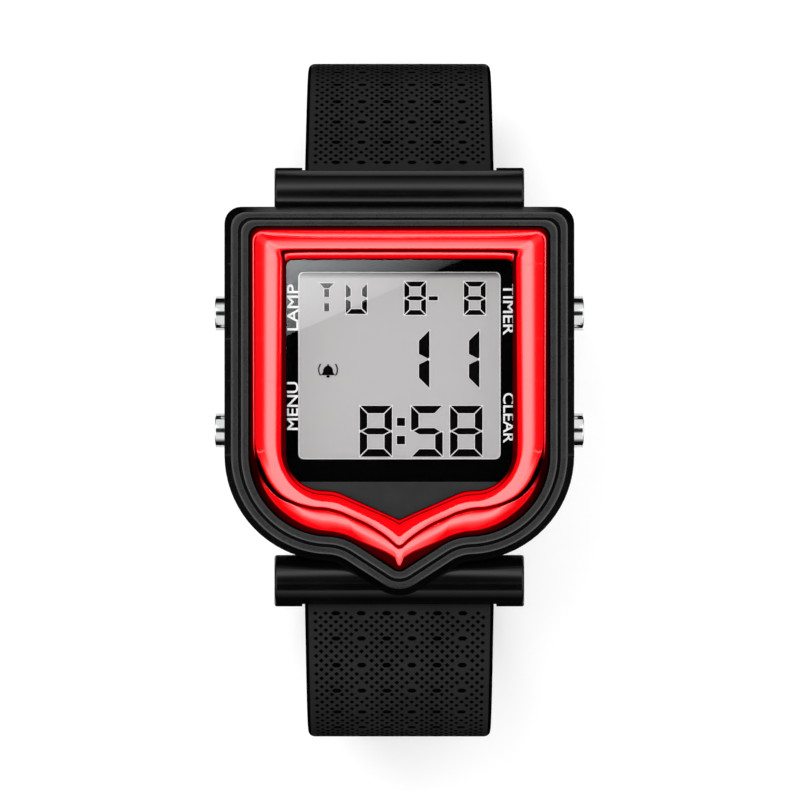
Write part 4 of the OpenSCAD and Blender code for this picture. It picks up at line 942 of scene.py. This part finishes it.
def bendStrip(bm, half, layers, total, legs):
    # the strip given its thickness, rounded edges and pits, and bent along its path
    made = bmesh.ops.extrude_face_region(bm, geom=bm.faces[:])
    for item in made["geom"]:
        if isinstance(item, bmesh.types.BMVert):
            item[layers["depth"]] = 1
    for v in bm.verts:
        s, x = v[layers["along"]], v[layers["across"]]
        y, z, a = strapPlace(half, legs, s)
        t = strap["neck"] if s <= strap["neckLength"] else strap["thick"]
        c = min(strap["edgeRound"], 0.42*t)
        d = halfWidth(half, s, total) - abs(x)
        h = t/2 if d >= c else t/2 - c + math.sqrt(max(0, c*c - (c - max(0, d))**2))
        if half["tip"] and s > total - strap["tipRound"]:
            h *= math.sqrt(max(0.12, 1 - ((s - total)/strap["tipRound"] + 1)**2))
        if v[layers["depth"]] > 0.5:
            pit = v[layers["pit"]]
            h -= pit*(strap["bigPit"] if pit > 0.76 else strap["pit"]/0.75)
        else:
            h = -h
            v[layers["pit"]] = 0
        y += h*math.sin(math.radians(a))
        z += h*math.cos(math.radians(a))
        v.co = Vector((x, half["sign"]*y + half["pin"][0], z + half["pin"][1]))*mm


def cutDots(bm, half, layers, total):
    # a dot is the faces round its deep point, cut to a diamond; the dots and a band along the edges of the top
    # take the near-black material, painted shade in the pits and on the rounded edges
    for f in bm.faces[:]:
        deep = [v for v in f.verts if v[layers["pit"]] > 0]
        if len(deep) == 1 and len(f.verts) == 4:
            k = f.verts[:].index(deep[0])
            bmesh.utils.face_split(f, f.verts[k - 3], f.verts[k - 1])
    for f in bm.faces:
        edge = all(v[layers["depth"]] > 0.5 and halfWidth(half, v[layers["along"]], total)
                   - abs(v[layers["across"]]) < strap["edgeShadeWidth"] for v in f.verts)
        f.material_index = int(edge or any(v[layers["pit"]] > 0 for v in f.verts))


def makeTube(name, body, start, x0, x1, r, bore):
    # a hollow barrel along x, for a pin or the buckle bar
    bm = bmesh.new()
    c = knuckle["chamfer"]
    profile = [(x0, bore), (x0, r - c), (x0 + c, r), (x1 - c, r), (x1, r - c), (x1, bore), (x0, bore)]
    turned(bm, profile, start)
    pieceFrom(bm, name, body, finish["strapRubber"], smoothAngle=50)


for name, half in halves.items():
    makeStrap(name)
    makeTube("knuckle" + name.title(), half["body"], (0, *half["pin"]), -knuckle["half"], knuckle["half"],
             knuckle["radius"], knuckle["bore"])
for name, x0, x1 in (("barLoopLeft", -bar["loopEnd"], -bar["notch"]),
                     ("barLoopRight", bar["notch"], bar["loopEnd"])):
    makeTube(name, "strap_upper", (0, bar["y"], levels["foot"]), x0, x1, bar["loopR"], bar["boreR"])
print("strap halves made")

copyOf("keeper", "keeperLoop", finish["strapRubber"], edge=0.25, angle=30, segments=3)
for node, name, edge in (("buckle_frame", "buckleFrame", 0.3), ("buckle_tongue", "buckleTongue", 0.25)):
    copyOf(node, name, finish["buckleSteel"], edge=edge, angle=40, segments=4, flat=2.5)
print("keeper and buckle made")


# studio

studio = dict(
    # camera, floor and key lamp, in m
    cameraUp=4.2, cameraX=0.00008, viewWide=0.096, floorHalf=2.0, floorDown=0.00002, floorGlow=0.13,
    worldLight=1.1,
    keyAt=(-0.25, 0.3, 1.25), keyAim=(0, 0, 0.05), keySize=0.5, keyWatts=3,
    # dome that only reflections show: its size, its lower edge, and its brightness by the angle from straight up
    domeR=1.3, domeCut=0.04, domeUp=0.06, domeBright=3,
    dome=[(0, 0.0), (12, 0.01), (20, 0.6), (26, 2.2), (32, 2.9), (38, 2.8), (44, 1.9), (50, 1.2),
          (58, 0.72), (66, 0.45), (74, 0.18), (82, 0.03), (88, 0.01)],
    # black screen round the watch, in mm: its lower edge is at near, end or side, within so far of the middle
    screen=dict(radius=90, top=68, side=36, end=61, endWithin=20, near=20, nearWithin=30))


def makeSky():
    # plain light, which the camera, metal and glass see as white
    world = bpy.data.worlds.new("studioSky")
    bpy.context.scene.world = world
    world.use_nodes = True
    tree = world.node_tree
    light = tree.nodes.new("ShaderNodeLightPath")
    seen = light.outputs["Is Camera Ray"]
    for kind in ("Is Glossy Ray", "Is Transmission Ray"):
        either = tree.nodes.new("ShaderNodeMath")
        either.operation = "MAXIMUM"
        tree.links.new(seen, either.inputs[0])
        tree.links.new(light.outputs[kind], either.inputs[1])
        seen = either.outputs["Value"]
    tree.links.new(ranged(tree, seen, studio["worldLight"], 1, 0, 1), tree.nodes["Background"].inputs["Strength"])
    tree.nodes["Background"].inputs["Color"].default_value = (1, 1, 1, 1)


makeSky()


def stageItem(bm, name, material, glossOnly=True):
    # lights, screens and cards, which only reflections show, and the floor
    mesh = bpy.data.meshes.new(name)
    bm.to_mesh(mesh)
    bm.free()
    mesh.materials.append(material)
    item = bpy.data.objects.new(name, mesh)
    bpy.context.scene.collection.objects.link(item)
    if glossOnly:
        item.visible_camera = item.visible_diffuse = item.visible_shadow = item.visible_transmission = False


def glowing(name, strength):
    material = bpy.data.materials.new(name)
    material.use_nodes = True
    tree = material.node_tree
    tree.nodes.remove(tree.nodes["Principled BSDF"])
    glow = tree.nodes.new("ShaderNodeEmission")
    glow.inputs["Strength"].default_value = strength
    tree.links.new(glow.outputs["Emission"], tree.nodes["Material Output"].inputs["Surface"])
    return material, tree, glow


# what the cards are made of: black cloth, and two papers with their brightness
papers = {"flagCloth": startMaterial("flagCloth", (0.004, 0.004, 0.004), 1, 0, 0)[0],
          "cardPaper": glowing("cardPaper", 0.84)[0], "trayGrey": glowing("trayGrey", 0.72)[0]}


def makeDome():
    # the bright ring overhead that the red frame and the buttons mirror
    bright = studio["domeBright"]
    material, tree, glow = glowing("domeGlow", bright)
    direction = tree.nodes.new("ShaderNodeVectorMath")
    direction.operation = "NORMALIZE"
    parts = tree.nodes.new("ShaderNodeSeparateXYZ")
    angle = tree.nodes.new("ShaderNodeMath")
    angle.operation = "ARCCOSINE"
    ramp = tree.nodes.new("ShaderNodeValToRGB")
    steps = ramp.color_ramp.elements
    for i, (degrees, value) in enumerate(studio["dome"]):
        step = steps[i] if i < 2 else steps.new(degrees/90)
        step.position = degrees/90
        step.color = (value/bright, value/bright, value/bright, 1)
    tree.links.new(objectPlace(tree, centre=(0, 0, studio["domeUp"]/mm)), direction.inputs[0])
    tree.links.new(direction.outputs["Vector"], parts.inputs["Vector"])
    tree.links.new(parts.outputs["Z"], angle.inputs[0])
    tree.links.new(ranged(tree, angle.outputs["Value"], 0, 1, 0, math.pi/2), ramp.inputs["Fac"])
    tree.links.new(ramp.outputs["Color"], glow.inputs["Color"])
    bm = bmesh.new()
    bmesh.ops.create_uvsphere(bm, u_segments=64, v_segments=64, radius=studio["domeR"])
    bmesh.ops.bisect_plane(bm, geom=bm.verts[:] + bm.edges[:] + bm.faces[:], plane_co=(0, 0, studio["domeCut"]),
                           plane_no=(0, 0, 1), clear_inner=True)
    bmesh.ops.translate(bm, verts=bm.verts[:], vec=(0, 0, studio["domeUp"]))
    stageItem(bm, "lightDome", material)


# cards, in mm: paper, size, whether it stands upright, and its middle for each ending of its name
cards = {
    # black ones round and behind the barrels, and one over the pointed end
    "lowFlag": dict(paper="flagCloth", size=(64, 19), upright=True,
                    at={"Near": (0, -90, 10.5), "Far": (0, 90, 10.5)}),
    "barrelFlag": dict(paper="flagCloth", size=(42, 27), at={"Near": (0, -37.5, 43), "Far": (0, 40.5, 43)}),
    "floorFlag": dict(paper="flagCloth", size=(34, 40), at={"Near": (0, -62, 0.5), "Far": (0, 62, 0.5)}),
    "topFlag": dict(paper="flagCloth", size=(34, 4.8), at={"": (0, -25.8, 66)}),
    # black level with the buttons, grey below them
    "buttonFlag": dict(paper="flagCloth", size=(14.5, 41), upright=True, at={
        "LeftNear": (-26.75, -56.6, 43), "LeftFar": (-26.75, 63.4, 43),
        "RightNear": (26.75, -56.6, 43), "RightFar": (26.75, 63.4, 43)}),
    "buttonTray": dict(paper="trayGrey", size=(3.8, 58), at={"Left": (-21.7, 3, 40), "Right": (21.7, 3, 40)}),
}
# two white ones at each button: how far along y from its middle, height and size
buttonCards = {"Near": dict(off=-3, height=64.5, size=(3.8, 8.2)),
               "Far": dict(off=6, height=69.9, size=(3.8, 16.2))}
for place, (side, y) in button["places"].items():
    for end, look in buttonCards.items():
        cards["buttonCard" + placeName(place) + end] = dict(
            paper="cardPaper", size=look["size"], upright=True,
            at={"": (side*21.7, y + look["off"], look["height"])})


def addCard(name, paper, middle, size, upright):
    # lies level, or stands facing along y
    bm = bmesh.new()
    bmesh.ops.create_grid(bm, x_segments=1, y_segments=1, size=0.5)
    bmesh.ops.transform(bm, verts=bm.verts[:], matrix=Matrix.Translation(Vector(middle)*mm)
                        @ Matrix.Rotation(math.pi/2 if upright else 0, 4, "X")
                        @ Matrix.Diagonal((size[0]*mm, size[1]*mm, 1, 1)))
    stageItem(bm, name, papers[paper])


def makeScreen():
    # a low black screen round the watch, higher behind the barrels
    look = studio["screen"]
    bm = bmesh.new()
    ring = bmesh.ops.create_circle(bm, segments=96, radius=look["radius"]*mm)
    for v in ring["verts"]:
        near = v.co.y < 0 and abs(v.co.x) < look["nearWithin"]*mm
        v.co.z = look["near" if near else "end" if abs(v.co.x) < look["endWithin"]*mm else "side"]*mm
    made = bmesh.ops.extrude_edge_only(bm, edges=bm.edges[:])
    for item in made["geom"]:
        if isinstance(item, bmesh.types.BMVert):
            item.co.z = look["top"]*mm
    stageItem(bm, "flagScreen", papers["flagCloth"])


makeDome()
makeScreen()
for name, look in cards.items():
    for end, middle in look["at"].items():
        addCard(name + end, look["paper"], middle, look["size"], look.get("upright", False))


def makeFloor():
    # white paper that keeps a soft shadow
    material, tree, shader = startMaterial("floorPaper", (0.97, 0.97, 0.97), 0.9, 0, 0.1)
    paper = ranged(tree, noiseOf(tree, objectPlace(tree), 30), 0, 1)
    tree.links.new(mixed(tree, paper, (0.965, 0.965, 0.965), (0.985, 0.985, 0.985)), shader.inputs["Base Color"])
    light = tree.nodes.new("ShaderNodeLightPath")
    shader.inputs["Emission Color"].default_value = (1, 1, 1, 1)
    tree.links.new(ranged(tree, light.outputs["Is Camera Ray"], 0, studio["floorGlow"], 0, 1),
                   shader.inputs["Emission Strength"])
    bm = bmesh.new()
    bmesh.ops.create_grid(bm, x_segments=4, y_segments=4, size=studio["floorHalf"])
    bmesh.ops.translate(bm, verts=bm.verts[:], vec=(0, 0, -studio["floorDown"]))
    stageItem(bm, "floor", material, glossOnly=False)


makeFloor()

# cards high up, which the glass mirrors in its upper left corner
gloss = dict(height=0.9, slope=(-345, 591), level=-6.75)
glossCards = {
    # corners of the reflection in the view, and its strength
    "glossCard": dict(share=1, corners=((463, 259), (434, 271.6), (298.3, 271.6), (298.3, 330.65), (286, 336),
                                        (286, 352), (230, 352), (230, 215), (463, 215))),
    "glossCardWindow": dict(share=0.55, corners=((298.3, 271.6), (434, 271.6), (298.3, 330.65)))}


def makeGlossCard(name, share, corners):
    # brightest at its upper left end
    grow = 1 + gloss["height"]/studio["cameraUp"]
    height = levels["glassTop"]*mm + gloss["height"]
    bm = bmesh.new()
    places = [viewPlace(u, v) for u, v in corners]
    bm.faces.new([bm.verts.new((x*grow*mm, y*grow*mm, height)) for x, y in places])
    material, tree, glow = glowing(name + "Glow", 3)
    slope = tree.nodes.new("ShaderNodeVectorMath")
    slope.operation = "DOT_PRODUCT"
    slope.inputs[1].default_value = [rise*share/grow for rise in gloss["slope"]] + [0]
    level = tree.nodes.new("ShaderNodeMath")
    level.operation = "ADD"
    level.inputs[1].default_value = gloss["level"]*share
    tree.links.new(objectPlace(tree), slope.inputs[0])
    tree.links.new(slope.outputs["Value"], level.inputs[0])
    tree.links.new(level.outputs["Value"], glow.inputs["Strength"])
    stageItem(bm, name, material)


for name, look in glossCards.items():
    makeGlossCard(name, **look)


def makeKeyLamp():
    # a soft lamp above one shoulder, which no reflection shows
    lamp = bpy.data.lights.new("keyLamp", "AREA")
    lamp.shape = "RECTANGLE"
    lamp.size = lamp.size_y = studio["keySize"]
    lamp.energy = studio["keyWatts"]
    item = bpy.data.objects.new("keyLamp", lamp)
    bpy.context.scene.collection.objects.link(item)
    item.location = studio["keyAt"]
    item.rotation_euler = (Vector(studio["keyAim"]) - Vector(studio["keyAt"])).to_track_quat("-Z", "Y").to_euler()
    item.visible_camera = False
    item.visible_glossy = False


def makeCamera():
    # straight above the watch, and as wide as the picture
    camera = bpy.data.objects.new("camera", bpy.data.cameras.new("camera"))
    bpy.context.scene.collection.objects.link(camera)
    camera.location = (studio["cameraX"], 0, levels["caseTop"]*mm + studio["cameraUp"])
    camera.data.lens = camera.data.sensor_width*studio["cameraUp"]/studio["viewWide"]
    camera.data.clip_end = 4*studio["cameraUp"]
    bpy.context.scene.camera = camera


makeKeyLamp()
makeCamera()
bpy.context.scene.view_settings.view_transform = "Standard"
print("studio made")
